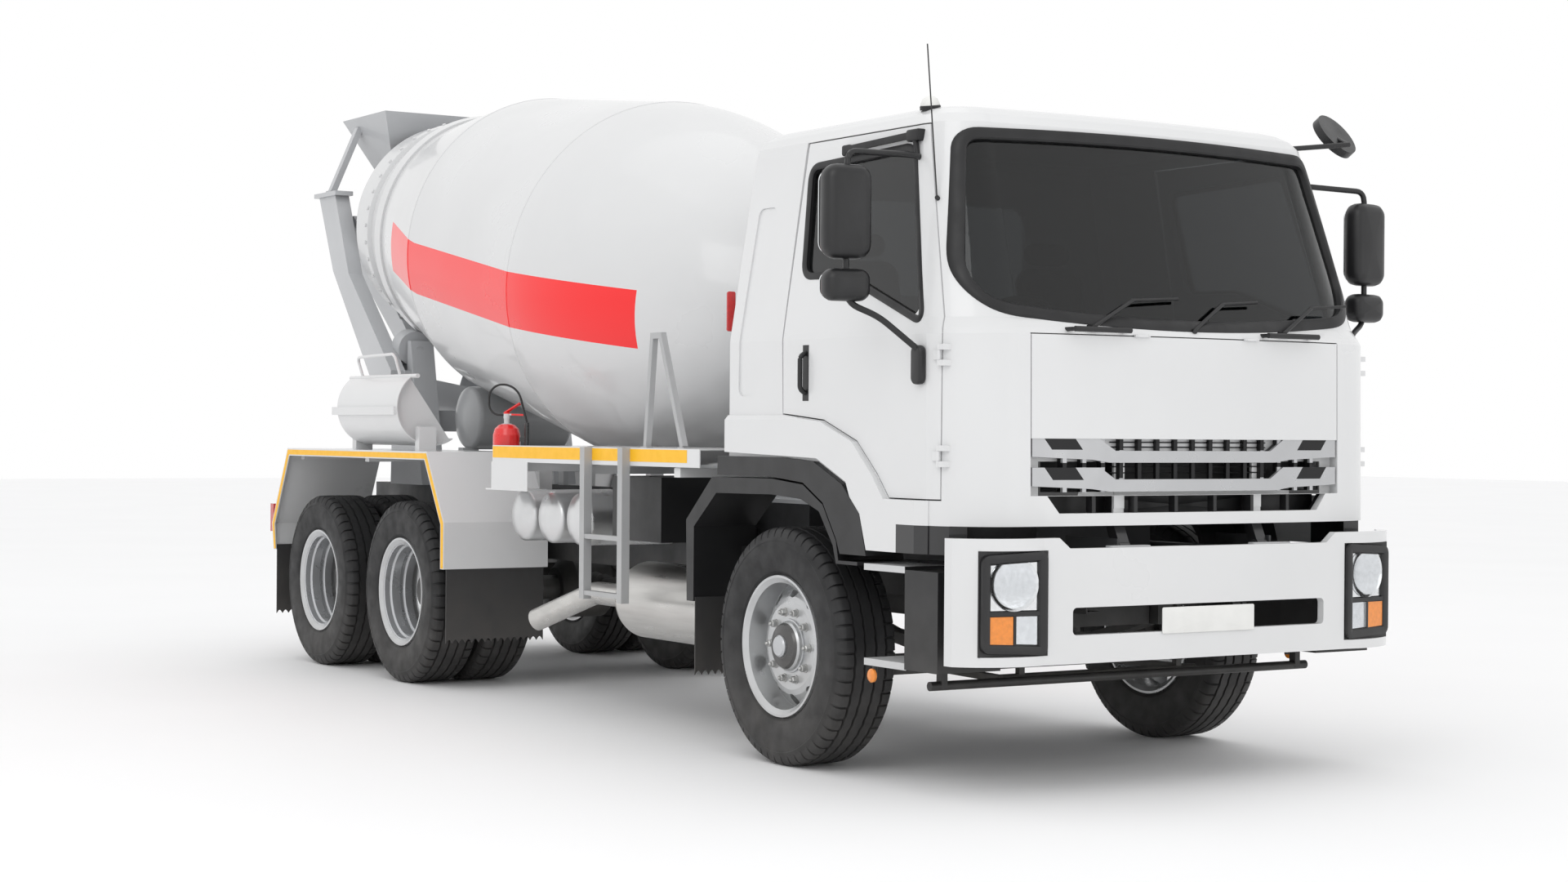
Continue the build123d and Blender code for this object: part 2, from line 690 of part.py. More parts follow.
with BuildPart() as grille:
    for low, high in ((1408, grille_top_z), (1285, 1375)):
        with BuildSketch(Plane.YZ.offset(at(1330))) as wing:
            with BuildLine():
                Polyline(
                    (-lid_half + 6, high), (-520, high), (-440, high - 50), (440, high - 50), (520, high),
                    (lid_half - 6, high), (lid_half - 6, low + 12), (560, low), (470, low - 12), (-470, low - 12),
                    (-560, low), (-lid_half + 6, low + 12), close=True,
                )
            make_face()
        extrude(wing.sketch, amount=200)
    for y in range(-700, 701, 100):
        block((at(1300), at(1425)), (y - 10, y + 10), (1272, grille_top_z))
    add(grille_skin.part, mode=Mode.INTERSECT)
finish_piece(grille, "grille")

with BuildPart() as arch_flares:
    for side in (-1, 1):
        side_shape(
            (
                (at(-540), 1310), (at(-60), 1312), (at(215), 1290), (at(380), 1205), (at(490), 1050),
                (at(520), 985), (at(725), 985),
                *((x, z - fit_gap) for x, z in reversed(arch_cut[2:6])),
                (at(-540), 1400 - fit_gap),
            ),
            (side * (cab_half_width - cab_wall - 60), side * (fender_y - 6)),
        )
finish_piece(arch_flares, "arch_flares")

with BuildPart() as cab_room:
    cab_volume(cab_wall + fit_gap, floor=cab_floor_z)

seat_y = 560
wheel_centre = (at(790), -seat_y, 1985)
column_way = Vector(-0.55, 0, 0.835).normalized()
hub_height = 40
with BuildPart() as dashboard:
    side_shape(
        (
            (at(1390), cab_floor_z + fit_gap), (at(1390), 1900), (at(1180), 1960), (at(980), 1900), (at(960), 1760),
            (at(1080), cab_floor_z + fit_gap),
        ),
        (-cab_half_width + 130, cab_half_width - 130),
    )
    add(cab_room.part, mode=Mode.INTERSECT)
    hub_foot = Vector(*wheel_centre) - column_way * (hub_height / 2 + fit_gap)
    rod(tuple(hub_foot), tuple(hub_foot - column_way * 400), 32)
finish_piece(dashboard, "dashboard")

with BuildPart() as seats:
    for side in (-1, 1):
        side_shape(
            (
                (at(-300), cab_floor_z + fit_gap), (at(300), cab_floor_z + fit_gap), (at(300), 1700), (at(360), 1740), (at(320), 1850),
                (at(-180), 1830), (at(-330), 2480), (at(-440), 2470), (at(-330), 1700),
            ),
            (side * (seat_y - 250), side * (seat_y + 250)),
        )
finish_piece(seats, "seats")

with BuildPart() as steering_wheel:
    with Locations(Plane(origin=wheel_centre, z_dir=column_way)):
        Torus(215, 16)
        Cylinder(45, hub_height)
        Box(30, 400, 14)
        Box(400, 30, 14)
finish_piece(steering_wheel, "steering_wheel")

with BuildPart() as cab_trim:
    for y, tip_y in ((-560, -40), (0, 420), (520, 960)):
        rod((at(1370), y, 1965), (at(1434), y, 1965), 12)
        rod((at(1424), y, 1965), (at(1372), (y + tip_y) / 2, 2090), 9)
        rod((at(1372), (y + tip_y) / 2, 2090), (at(1362), tip_y, 2105), 7)
    for side in (-1, 1):
        rod((at(1470), side * 540 - 150, 1955), (at(1470), side * 540 + 150, 1955), 12)
        for reach in (-140, 140):
            rod((at(1380), side * 540 + reach, 1955), (at(1470), side * 540 + reach, 1955), 9)
    rod((at(1020), -1050, 2490), (at(1045), -1100, 2510), 10)
    rod((at(1044), -1098, 2505), (at(975), -1105, 3165), 3)
    rod((at(930), 980, 2862), (at(1000), 1330, 2902), 12)
    with Locations(Plane(origin=(at(880), 1350, 2952), z_dir=(0.75, 0.2, 0.6))):
        Cylinder(120, 40)
    rod((at(1000), 1320, 2900), (at(900), 1345, 2940), 12)
    cab_volume(-fit_gap, mode=Mode.SUBTRACT)
    add(slot_ribs.part)
finish_piece(cab_trim, "cab_trim")

for name, side in sides.items():
    with BuildPart() as door:
        cab_volume(0)
        cab_volume(cab_wall, mode=Mode.SUBTRACT)
        side_prism(door_outline, 0, side, Mode.INTERSECT)
        window_prism(0, side, Mode.SUBTRACT)
        for z in door_hinge_z:
            rod((door_hinge_x, side * door_hinge_y, z - 20), (door_hinge_x, side * door_hinge_y, z + 20), 8)
            block((door_hinge_x - 38, door_hinge_x), (side * 1184, side * (door_hinge_y + 4)), (z - 20, z + 20))
            rod((door_hinge_x, side * door_hinge_y, z - 21), (door_hinge_x, side * door_hinge_y, z + 21),
                4.5 + fit_gap, Mode.SUBTRACT)
    finish_piece(door, f"door_{name}")
    with BuildPart() as pane:
        cab_volume(glass_inset)
        cab_volume(glass_inset + glass_thickness, mode=Mode.SUBTRACT)
        window_prism(-fit_gap, side, Mode.INTERSECT)
    finish_piece(pane, f"door_glass_{name}")
    with BuildPart() as mirrors:
        block((at(880), at(1010)), (side * 1385, side * 1605), (2235, 2633))
        block((at(885), at(1005)), (side * 1390, side * 1600), (2062, 2200))
        block((at(1060), at(1130)), (side * (cab_half_width - 10), side * 1240), (1720, 1880))
        rod((at(1095), side * 1225, 1870), (at(960), side * 1480, 2070), 14)
        rod((at(945), side * 1490, 2190), (at(945), side * 1490, 2245), 14)
        rod((at(945), side * 1490, 2630), (at(945), side * 1480, 2690), 14)
        rod((at(945), side * 1480, 2690), (at(880), side * 1060, 2690), 14)
        cab_volume(-fit_gap, mode=Mode.SUBTRACT)
    finish_piece(mirrors, f"mirrors_{name}")


# Front end on the chassis

with BuildPart() as bumper:
    with BuildSketch(Plane.XY.offset(560)) as plan:
        with BuildLine():
            ThreePointArc((at(1492), -860), (front_end_x, 0), (at(1492), 860))
            ThreePointArc((at(1492), 860), (at(1455), 1120), (at(1360), 1232))
            Line((at(1360), 1232), (at(1310), 1235))
            Line((at(1310), 1235), (at(1310), 1205))
            ThreePointArc((at(1310), 1205), (at(1422), 1095), (at(1455), 860))
            ThreePointArc((at(1455), 860), (front_end_x - 38, 0), (at(1455), -860))
            ThreePointArc((at(1455), -860), (at(1422), -1095), (at(1310), -1205))
            Line((at(1310), -1205), (at(1310), -1235))
            Line((at(1310), -1235), (at(1360), -1232))
            ThreePointArc((at(1360), -1232), (at(1455), -1120), (at(1492), -860))
        make_face()
    extrude(plan.sketch, amount=525)
    with BuildSketch(Plane.YZ.offset(at(1200))) as notch:
        with BuildLine():
            Polyline((-800, 1100), (-725, 1040), (725, 1040), (800, 1100), close=True)
        make_face()
        with Locations((0, 736)):
            RectangleRounded(1420, 115, 20)
    extrude(notch.sketch, amount=400, mode=Mode.SUBTRACT)
    for side in (-1, 1):
        block((at(1200), at(1600)), (side * 838, side * 1155), (600, 1035), mode=Mode.SUBTRACT)
        block((frame_front_x + fit_gap, at(1460)), (side * rail_inner_y, side * rail_outer_y), (790, 900))
    block((at(1400), at(1462)), (-800, 800), (800, 900))
finish_piece(bumper, "bumper")

lamp_inner_y = 838 + fit_gap
lamp_outer_y = 1155 - fit_gap
with BuildPart() as headlamps:
    for side in (-1, 1):
        with BuildSketch(Plane.XY.offset(600 + fit_gap)) as plan:
            with BuildLine():
                Polyline(
                    (at(1488), side * lamp_inner_y), (at(1440), side * lamp_outer_y), (at(1370), side * lamp_outer_y),
                    (at(1400), side * lamp_inner_y),
                    close=True,
                )
            make_face()
        extrude(plan.sketch, amount=435 - 2 * fit_gap)
finish_piece(headlamps, "headlamps")

with BuildPart() as front_mudguards:
    for side in (-1, 1):
        y_range = (side * 880, side * (fender_y - 12))
        side_shape(
            (
                (at(-835), 700), (at(-845), 1090), (at(-600), 1300), (at(-60), 1302), (at(205), 1280),
                (at(370), 1195), (at(480), 1040), (at(500), 955), (at(650), 955), (at(650), 940), (at(482), 940),
                (at(455), 1020), (at(340), 1165), (at(190), 1215), (at(-60), 1230), (at(-560), 1225),
                (at(-770), 1060), (at(-770), 700),
            ),
            y_range,
        )
        block((at(-640), at(-580)), (side * 425, side * 900), (900, 960))
        block((at(-780), at(-580)), (side * 885, side * 960), (900, 960))
        block((at(640), at(700)), (side * 425, side * 900), (941, 954))
finish_piece(front_mudguards, "front_mudguards")

with BuildPart() as cab_steps:
    for side in (-1, 1):
        block((at(1010), at(1250)), (side * 900, side * 1225), (520, 940))
        block((at(690), at(1010)), (side * 1000, side * 1215), (515, 545))
        block((at(690), at(1010)), (side * 985, side * 1000), (515, 800))
        block((at(700), at(1010)), (side * 1000, side * 1225), (925, 953))
        block((at(1020), at(1180)), (side * (rail_outer_y + fit_gap), side * 901), (760, 820))
        block((at(970), at(1010)), (side * 1000, side * 1030), (430, 520))
    rod((at(990), -1080, 440), (at(990), 1080, 440), 20)
finish_piece(cab_steps, "cab_steps")


# Tanks, exhaust and deck

with BuildPart() as fuel_tank:
    with BuildSketch(Plane.YZ.offset(at(-2200))) as section:
        with Locations((870, 850)):
            RectangleRounded(620, 560, 90)
    extrude(section.sketch, amount=1300)
    for x in (-1900, -1250):
        block((at(x) - 30, at(x) + 30), (rail_outer_y, 570), (760, 980))
finish_piece(fuel_tank, "fuel_tank")

with BuildPart() as air_tanks:
    for x in (-2980, -2645, -2303):
        domed_tank((at(x), -775, 1040), 325, 142, 62)
        block((at(x) - 25, at(x) + 25), (-rail_outer_y - fit_gap, -475), (1025, 1075))
finish_piece(air_tanks, "air_tanks")

with BuildPart() as battery_box:
    block((at(-1916), at(-1395)), (-1060, -520), (950, 1280))
    block((at(-1800), at(-1500)), (-525, -rail_outer_y), (960, 1010))
finish_piece(battery_box, "battery_box")

with BuildPart() as exhaust:
    turned(((-560, 0), (-560, 90), (-520, 190), (-490, 200), (490, 200), (520, 190), (560, 90), (560, 0)),
           (at(-1400), -850, 630), (1, 0, 0))
    tube(((at(-1960), -850, 630), (at(-2500), -850, 630), (at(-2900), -1010, 460)), 62, 180)
    block((at(-1700), at(-1640)), (-700, -rail_outer_y), (700, 780))
    block((at(-1160), at(-1100)), (-700, -rail_outer_y), (700, 780))
finish_piece(exhaust, "exhaust")

with BuildPart() as decks:
    for side in (-1, 1):
        block((at(-2740), at(-700)), (side * 620, side * fender_y), (deck_z - sheet, deck_z))
        block((at(-2996), at(-700)), (side * (fender_y - sheet), side * fender_y), (deck_z - 90, deck_z))
        for x in (-2690, -1900, -950):
            block((at(x) - 30, at(x) + 30), (side * rail_inner_y, side * (fender_y - 20)), (1290, 1335))
            block((at(x) - 30, at(x) + 30), (side * rail_inner_y, side * rail_outer_y), (sill_top, 1290))
            for post_y in (680, 1190):
                block((at(x) - 25, at(x) + 25), (side * (post_y - 25), side * (post_y + 25)), (1335, deck_z - sheet))
    block((at(-3010), at(-2560)), (-fender_y, -fender_y + 4), (1183, deck_z - 90))
    block((at(-3080), at(-2700)), (-fender_y, -1050), (1183, 1191.7))
finish_piece(decks, "decks")

with BuildPart() as ladder:
    for x in (-1830, -1420):
        block((at(x) - 25, at(x) + 25), (-1285, -fender_y - fit_gap), (650, deck_z))
    for z in (683, 973):
        block((at(-1830), at(-1420)), (-1282, -1243), (z - 12, z + 12))
    for x, top in ((-1255, -1190), (-885, -1110)):
        block((at(x) - 30, at(x) + 30), (-1240, -1200), (deck_z + fit_gap, deck_z + 8))
        box_bar((at(x), -1220, deck_z + 6.5), (at(top), -1220, 1990), 30, 30)
    box_bar((at(-1205), -1220, 1985), (at(-1095), -1220, 1985), 30, 30)
finish_piece(ladder, "ladder")

water_tank_x = at(-5300)
water_tank_z = 1590
water_tank_radius = 205
with BuildPart() as water_tank:
    domed_tank((water_tank_x, 0, water_tank_z), 380, water_tank_radius, 70)
    foot_top = water_tank_z - water_tank_radius + 12
    for side in (-1, 1):
        block((water_tank_x - 38, water_tank_x + 38), (side * 270, side * (rail_inner_y + 35)), (foot_top - 40, foot_top))
        block((water_tank_x - 38, water_tank_x + 38), (side * rail_inner_y, side * (rail_inner_y + 35)),
              (sill_top + fit_gap, foot_top))
finish_piece(water_tank, "water_tank")

bottle_x = at(-2990)
bottle_y = -1157.5
bottle_radius = 76
valve_radius = 18
valve_z = 1598
hose_radius = 6
nozzle_reach = 118
nozzle_top_z = 1557


def beside_bottle(reach, z):
    """A point beside the extinguisher, at a reach from its axis in the plane of its hose."""
    turn = cos(radians(45))
    return (bottle_x + reach * turn, bottle_y + reach * turn, z)


with BuildPart() as fire_extinguisher:
    turned(
        ((0, 0), (0, 60), (12, bottle_radius), (295, bottle_radius), (330, 66), (350, 44), (358, 22), (358, 15), (385, 15),
         (385, valve_radius), (420, valve_radius), (420, 0)),
        (bottle_x, bottle_y, 1192),
        (0, 0, 1),
    )
    box_bar(beside_bottle(0, 1601), beside_bottle(98, 1598), 16, 10)
    box_bar(beside_bottle(-14, 1606), beside_bottle(78, 1662), 16, 8)
    rod(beside_bottle(nozzle_reach, nozzle_top_z - 2), beside_bottle(nozzle_reach, 1430), 13)
    box_bar(beside_bottle(bottle_radius - 6, 1462), beside_bottle(nozzle_reach, 1462), 20, 24)
finish_piece(fire_extinguisher, "fire_extinguisher")

hose_bends = [60, 75, 108]
with BuildPart() as extinguisher_hose:
    with BuildLine() as hose_path:
        FilletPolyline(
            beside_bottle(-valve_radius - fit_gap, valve_z),
            beside_bottle(-104, valve_z),
            beside_bottle(-104, 1766),
            beside_bottle(60, 1766),
            beside_bottle(nozzle_reach, nozzle_top_z),
            radius=hose_bends,
        )
    route = hose_path.wire()
    with BuildSketch(Plane(origin=route @ 0, z_dir=route % 0)) as section:
        Circle(hose_radius)
    sweep(section.sketch, path=route)
print("hose length", round(route.length), "bends", hose_bends, "volume", round(extinguisher_hose.part.volume))
finish_piece(extinguisher_hose, "extinguisher_hose")

with BuildPart() as mudflaps:
    for side in (-1, 1):
        y_range = (side * 880, side * (fender_y - 20))
        block((at(-770) + fit_gap, at(-762)), y_range, (345, 720))
        block((at(-6374) + fit_gap, at(-6366)), (side * 600, side * (fender_y - 20)), (280, 740))
        block((at(-3654), at(-3646) - fit_gap), (side * 600, side * (fender_y - 20)), (280, 740))
finish_piece(mudflaps, "mudflaps")

guard_inner_y = 575
guard_top_z = 1384
with BuildPart() as rear_mudguards:
    outline = (
        (at(-6380), 708), (at(-6413), 882), (at(-6135), guard_top_z), (at(-3893), guard_top_z), (at(-3640), 977), (at(-3640), 708),
    )
    inner_line = (
        (at(-6374), 708), (at(-6407), 880), (at(-6130), guard_top_z - sheet), (at(-3897), guard_top_z - sheet), (at(-3646), 975), (at(-3646), 708),
    )
    for side in (-1, 1):
        side_shape(outline + tuple(reversed(inner_line)), (side * guard_inner_y, side * fender_y))
        lip = (
            (at(-6340), 708), (at(-6365), 875), (at(-6105), 1335), (at(-3925), 1335), (at(-3690), 965), (at(-3690), 708),
        )
        side_shape(outline + tuple(reversed(lip)), (side * (fender_y - sheet), side * fender_y))
        for x in (-6092, -5000, -4080):
            block((at(x) - 30, at(x) + 30), (side * rail_inner_y, side * 1150), (1310, guard_top_z - sheet))
            block((at(x) - 30, at(x) + 30), (side * rail_inner_y, side * (rail_outer_y + 4)), (sill_top, guard_top_z - sheet))
finish_piece(rear_mudguards, "rear_mudguards")

with BuildPart() as tail_lamps:
    for side in (-1, 1):
        block((at(-6470), at(-6413) - fit_gap), (side * 930, side * 1230), (825, 1010))
finish_piece(tail_lamps, "tail_lamps")


# Drum and its carriers

tilt = radians(drum_tilt)
drum_axis = Vector(-cos(tilt), 0, sin(tilt))
drum_origin = Vector(drum_x, 0, drum_z)
drum_up = Vector(sin(tilt), 0, cos(tilt))


def on_drum(station, radius=0, side=0):
    """A point at a station along the drum's axis, raised by a radius and moved sideways."""
    place = drum_origin + drum_axis * station + drum_up * radius
    return (place.X, side, place.Z)


drum_shaft_radius = 90
drum_shoulder = (-1090, 800)
drum_head = (-1600, 352)
with BuildPart() as drum:
    with BuildSketch(Plane(origin=drum_origin, x_dir=drum_axis, z_dir=(0, 1, 0))) as profile:
        with BuildLine():
            front_cone = ThreePointArc(drum_shoulder, (-540, 995), (0, drum_radius))
            TangentArc(drum_shoulder, drum_head, tangent=(front_cone % 0) * -1)
            Polyline(
                drum_head, (-1630, 350), (-1630, drum_shaft_radius), (-1750, drum_shaft_radius), (-1750, 0),
                (1950, 0), (2000, 300), (2300, 560), (2870, 675), (3140, 655), (3300, 600), (3300, 630), (3280, 630),
                (3150, 690), (2910, 700), (2905, 735), (2850, 735), (2840, 708), (2565, 768), (2565, track_radius),
                (2475, track_radius), (2475, 785), (1607, drum_rear_radius), (0, drum_radius),
            )
        make_face()
    revolve(profile.sketch, axis=Axis(drum_origin, drum_axis))
finish_piece(drum, "drum")

with BuildPart() as drum_drive:
    turned(
        (
            (-1630 - 3, drum_shaft_radius + fit_gap), (-1633, 260), (-1700, 260), (-1700, 215), (-1950, 200),
            (-1990, 120), (-2190, 110), (-2190, 0), (-1755, 0), (-1755, drum_shaft_radius + fit_gap),
        ),
        tuple(drum_origin),
        tuple(drum_axis),
    )
    for side in (-1, 1):
        side_shape(
            (
                (at(-1850), sill_top), (at(-1000), sill_top), (at(-1300), 1950), (at(-1360), 2180), (at(-1560), 2180),
                (at(-1600), 1950),
            ),
            (side * 205, side * 225),
        )
        block((at(-1850), at(-1000)), (side * 200, side * 425), (sill_top, sill_top + 20))
    block((at(-1560), at(-1360)), (-210, 210), (1780, 1880))
finish_piece(drum_drive, "drum_drive")

roller_reach = track_radius + fit_gap + roller_radius
roller_drop = (roller_reach**2 - roller_y**2) ** 0.5
roller_point = {side: on_drum(track_station, -roller_drop, side * roller_y) for side in (-1, 1)}

post_inner_y = 600
post_outer_y = 700
post_top_z = 3150

with BuildPart() as rear_frame:
    for side in (-1, 1):
        x, y, z = roller_point[side]
        start = on_drum(track_station - 62, -roller_drop, y)
        turned(((0, 0), (0, roller_radius), (124, roller_radius), (124, 0)), start, tuple(drum_axis))
        turned(((-80, 0), (-80, 30), (204, 30), (204, 0)), start, tuple(drum_axis))
        y_range = (side * 400, side * 560)
        side_shape(
            ((x - 190, sill_top + fit_gap), (x + 330, sill_top + fit_gap), (x + 130, z + 40), (x + 75, z + 40), (x + 75, z - 150),
             (x - 75, z - 150), (x - 95, z + 40), (x - 150, z + 40)),
            y_range,
        )
        side_shape(
            ((at(-6980), 3120), (at(-6690), 3120), (at(-6440), 2570), (at(-5700), 1900), (at(-5700), 1780),
             (at(-5980), 1780), (at(-6720), 2600)),
            (side * post_inner_y, side * post_outer_y),
        )
        block((at(-6010), at(-5680)), (side * 550, side * 610), (1780, 1900))
        block((at(-7030), at(-6640)), (side * (post_inner_y - 10), side * (post_outer_y + 20)), (3120, post_top_z))
    block((at(-6000), at(-5720)), (-410, 410), (1500, 1640))
finish_piece(rear_frame, "rear_frame")

def funnel(top, top_z, low, low_z, wall):
    """An open funnel between two level rectangles, each given as its rear, front and half width."""
    for drawn_in, mode in ((0, Mode.ADD), (wall, Mode.SUBTRACT)):
        faces = []
        for (rear, front, half), z in ((low, low_z), (top, top_z)):
            with BuildSketch(Plane.XY.offset(z)) as level_face:
                with Locations(((rear + front) / 2, 0)):
                    Rectangle(front - rear - 2 * drawn_in, 2 * (half - drawn_in))
            faces.append(level_face.sketch)
        loft(faces, ruled=True, mode=mode)


with BuildPart() as charge_hopper:
    funnel((rear_end_x, at(-6300), 500), 3680, (at(-6860), at(-6640), 280), 3250, sheet)
    for side in (-1, 1):
        box_bar((at(-6860), side * 655, post_top_z + 10), (at(-6860), side * 462, 3610), 40, 60)
        block((at(-6900), at(-6820)), (side * 625, side * 685), (post_top_z + fit_gap, post_top_z + 16))
    box_bar((at(-6868), 0, 3262), (at(-6380), 0, 3062), 380, 8)
finish_piece(charge_hopper, "charge_hopper")

with BuildPart() as discharge_hopper:
    funnel((at(-7040), at(-6620), 590), 2980, (at(-6890), at(-6630), 165), 2150, sheet)
    block((at(-6650), at(-6600)), (-540, 540), (2280, 3000), mode=Mode.SUBTRACT)
    for side in (-1, 1):
        block((at(-6860), at(-6780)), (side * 552, side * (post_inner_y - fit_gap)), (2880, 2960))
finish_piece(discharge_hopper, "discharge_hopper")

cheek_radius = 32
trough_radius = 200
trough_wall = 6
chute_start = (chute_x, -140, chute_pin_z + 270)
chute_end = (chute_x, 1030, chute_pin_z + 60)
fold_length = 700
chute_path = (Vector(*chute_end) - Vector(*chute_start)).normalized()
chute_normal = Vector(1, 0, 0).cross(chute_path)
fold_hinge = Vector(*chute_end) + chute_normal * 12
fold_start = fold_hinge - chute_path * 6
fold_end = fold_start - chute_path * fold_length


def trough(start, end, radius, turn=0):
    """A half-round open chute along a line, its open side up, or turned about the line."""
    path = Vector(*end) - Vector(*start)
    level = Vector(0, 0, 1).cross(path).normalized().rotate(Axis((0, 0, 0), path), turn)
    with BuildSketch(Plane(origin=start, x_dir=level, z_dir=path)) as section:
        with BuildLine():
            CenterArc((0, 0), radius, 180, 180)
            Line((radius, 0), (radius - trough_wall, 0))
            CenterArc((0, 0), radius - trough_wall, 180, 180)
            Line((-radius + trough_wall, 0), (-radius, 0))
        make_face()
    extrude(section.sketch, amount=path.length)


with BuildPart() as chute_turntable:
    rod((chute_x, 0, rail_top + fit_gap), (chute_x, 0, chute_pin_z - 70), 45)
    block((chute_x - 90, chute_x + 90), (-60, 60), (chute_pin_z - 90, chute_pin_z - 60))
    for side in (-1, 1):
        cheek_x = (chute_x + side * 55, chute_x + side * 80)
        block(cheek_x, (-cheek_radius, cheek_radius), (chute_pin_z - 90, chute_pin_z))
        rod((cheek_x[0], 0, chute_pin_z), (cheek_x[1], 0, chute_pin_z), cheek_radius)
    rod((chute_x - 80, 0, chute_pin_z), (chute_x + 80, 0, chute_pin_z), 16)
finish_piece(chute_turntable, "chute_turntable")

with BuildPart() as chute_main:
    trough(chute_start, chute_end, trough_radius)
    block((chute_x - 50, chute_x + 50), (-40, 40), (chute_pin_z - 30, chute_pin_z + 55))
    rod((chute_x - 60, 0, chute_pin_z), (chute_x + 60, 0, chute_pin_z), 16 + fit_gap, Mode.SUBTRACT)
    for side in (-1, 1):
        low = fold_hinge - chute_path * 10 - chute_normal * 30
        with BuildSketch(Plane(origin=low + Vector(side * 198, 0, 0), x_dir=chute_path, z_dir=(side, 0, 0))) as ear:
            Rectangle(50, 60)
        extrude(ear.sketch, amount=10)
        ear_face = fold_hinge + Vector(side * 198, 0, 0)
        rod(tuple(ear_face), tuple(ear_face + Vector(side * 10, 0, 0)), 24)
        rod(tuple(ear_face - Vector(side * 2, 0, 0)), tuple(ear_face + Vector(side * 12, 0, 0)), 10 + fit_gap,
            Mode.SUBTRACT)
finish_piece(chute_main, "chute_main")

with BuildPart() as chute_fold:
    trough(tuple(fold_start), tuple(fold_end), trough_radius - 8, 180)
    for side in (-1, 1):
        start, pin, end = (fold_hinge + Vector(side * reach, 0, 0) for reach in (182, 188, 214))
        rod(tuple(start), tuple(pin + Vector(side * 4.5, 0, 0)), 20)
        rod(tuple(pin), tuple(end), 10)
finish_piece(chute_fold, "chute_fold")

stowed_radius = 232
stowed_lean = 55
stowed_y = -1022
stowed_z = 1646
stowed_x = (at(-5240), at(-4300))
stowed_rim = Vector(0, -sin(radians(90 - stowed_lean)), cos(radians(90 - stowed_lean))) * (stowed_radius - trough_wall / 2)
stowed_centre = Vector(0, stowed_y, stowed_z)

with BuildPart() as stowed_plug:
    rod((stowed_x[1] - 62, stowed_y, stowed_z), (stowed_x[1] - 56, stowed_y, stowed_z), stowed_radius - 2)
    middle = (stowed_x[1] - 59, stowed_y, stowed_z)
    with Locations(Plane(origin=middle, x_dir=(1, 0, 0), z_dir=stowed_rim)):
        with Locations((0, 300, 0)):
            Box(30, 600, 600, mode=Mode.SUBTRACT)

with BuildPart() as stowed_chute:
    trough((stowed_x[0], stowed_y, stowed_z), (stowed_x[1], stowed_y, stowed_z), stowed_radius, -stowed_lean)
    add(stowed_plug.part)
    for x in (stowed_x[0] - 20, stowed_x[1] + 20):
        block((x - 30, x + 30), (-1130, -1020), (guard_top_z + fit_gap, 1530))
    top = stowed_centre + stowed_rim
    rod((stowed_x[0] - 20, top.Y, top.Z), (stowed_x[1] + 80, top.Y, top.Z), 13)
    block((stowed_x[0] - 60, stowed_x[1] - 20), (stowed_y - stowed_radius - 12, stowed_y - stowed_radius + 5),
          (stowed_z - 46, stowed_z + 4))
    loop_x = (stowed_x[0] + 174, stowed_x[1] - 184)
    tube(((loop_x[0], top.Y, top.Z), (loop_x[0], top.Y - 40, top.Z + 125), (loop_x[1], top.Y - 40, top.Z + 135),
          (loop_x[1], top.Y, top.Z)), 9, 40)
finish_piece(stowed_chute, "stowed_chute")
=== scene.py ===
"""Dresses the concrete mixer truck: finishes for every solid, and the pieces that only the eye needs.

Metres, in the same frame as the solids: +X forward, +Y to the truck's left, +Z up. Shapes are
surfaces worked out with numpy, each a function of two parameters or a profile carried along a path.
"""

from math import cos, pi, radians, sin

import bpy
import numpy as np
from mathutils import Matrix, Vector


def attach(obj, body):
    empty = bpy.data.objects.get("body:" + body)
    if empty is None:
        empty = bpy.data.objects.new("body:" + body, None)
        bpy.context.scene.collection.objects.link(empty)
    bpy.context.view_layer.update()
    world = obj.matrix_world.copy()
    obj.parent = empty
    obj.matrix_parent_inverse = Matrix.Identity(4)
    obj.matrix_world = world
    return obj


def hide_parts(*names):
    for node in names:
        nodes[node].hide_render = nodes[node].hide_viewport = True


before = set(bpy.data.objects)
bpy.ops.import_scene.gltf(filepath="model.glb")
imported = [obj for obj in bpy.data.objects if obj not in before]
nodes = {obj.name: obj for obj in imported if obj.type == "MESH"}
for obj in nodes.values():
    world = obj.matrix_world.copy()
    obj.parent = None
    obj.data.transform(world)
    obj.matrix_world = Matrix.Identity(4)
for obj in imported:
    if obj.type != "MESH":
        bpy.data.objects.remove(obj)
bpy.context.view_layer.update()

FRONT_AXLE = 2.78
MIDDLE_AXLE = FRONT_AXLE - 4.31
REAR_AXLE = MIDDLE_AXLE - 1.31
WHEEL_Z = 0.542
TYRE_Y = 1.079
TWIN_PITCH = 0.346
SIDES = {"right": -1, "left": 1}
SHARP_ANGLE = 32


# Finishes


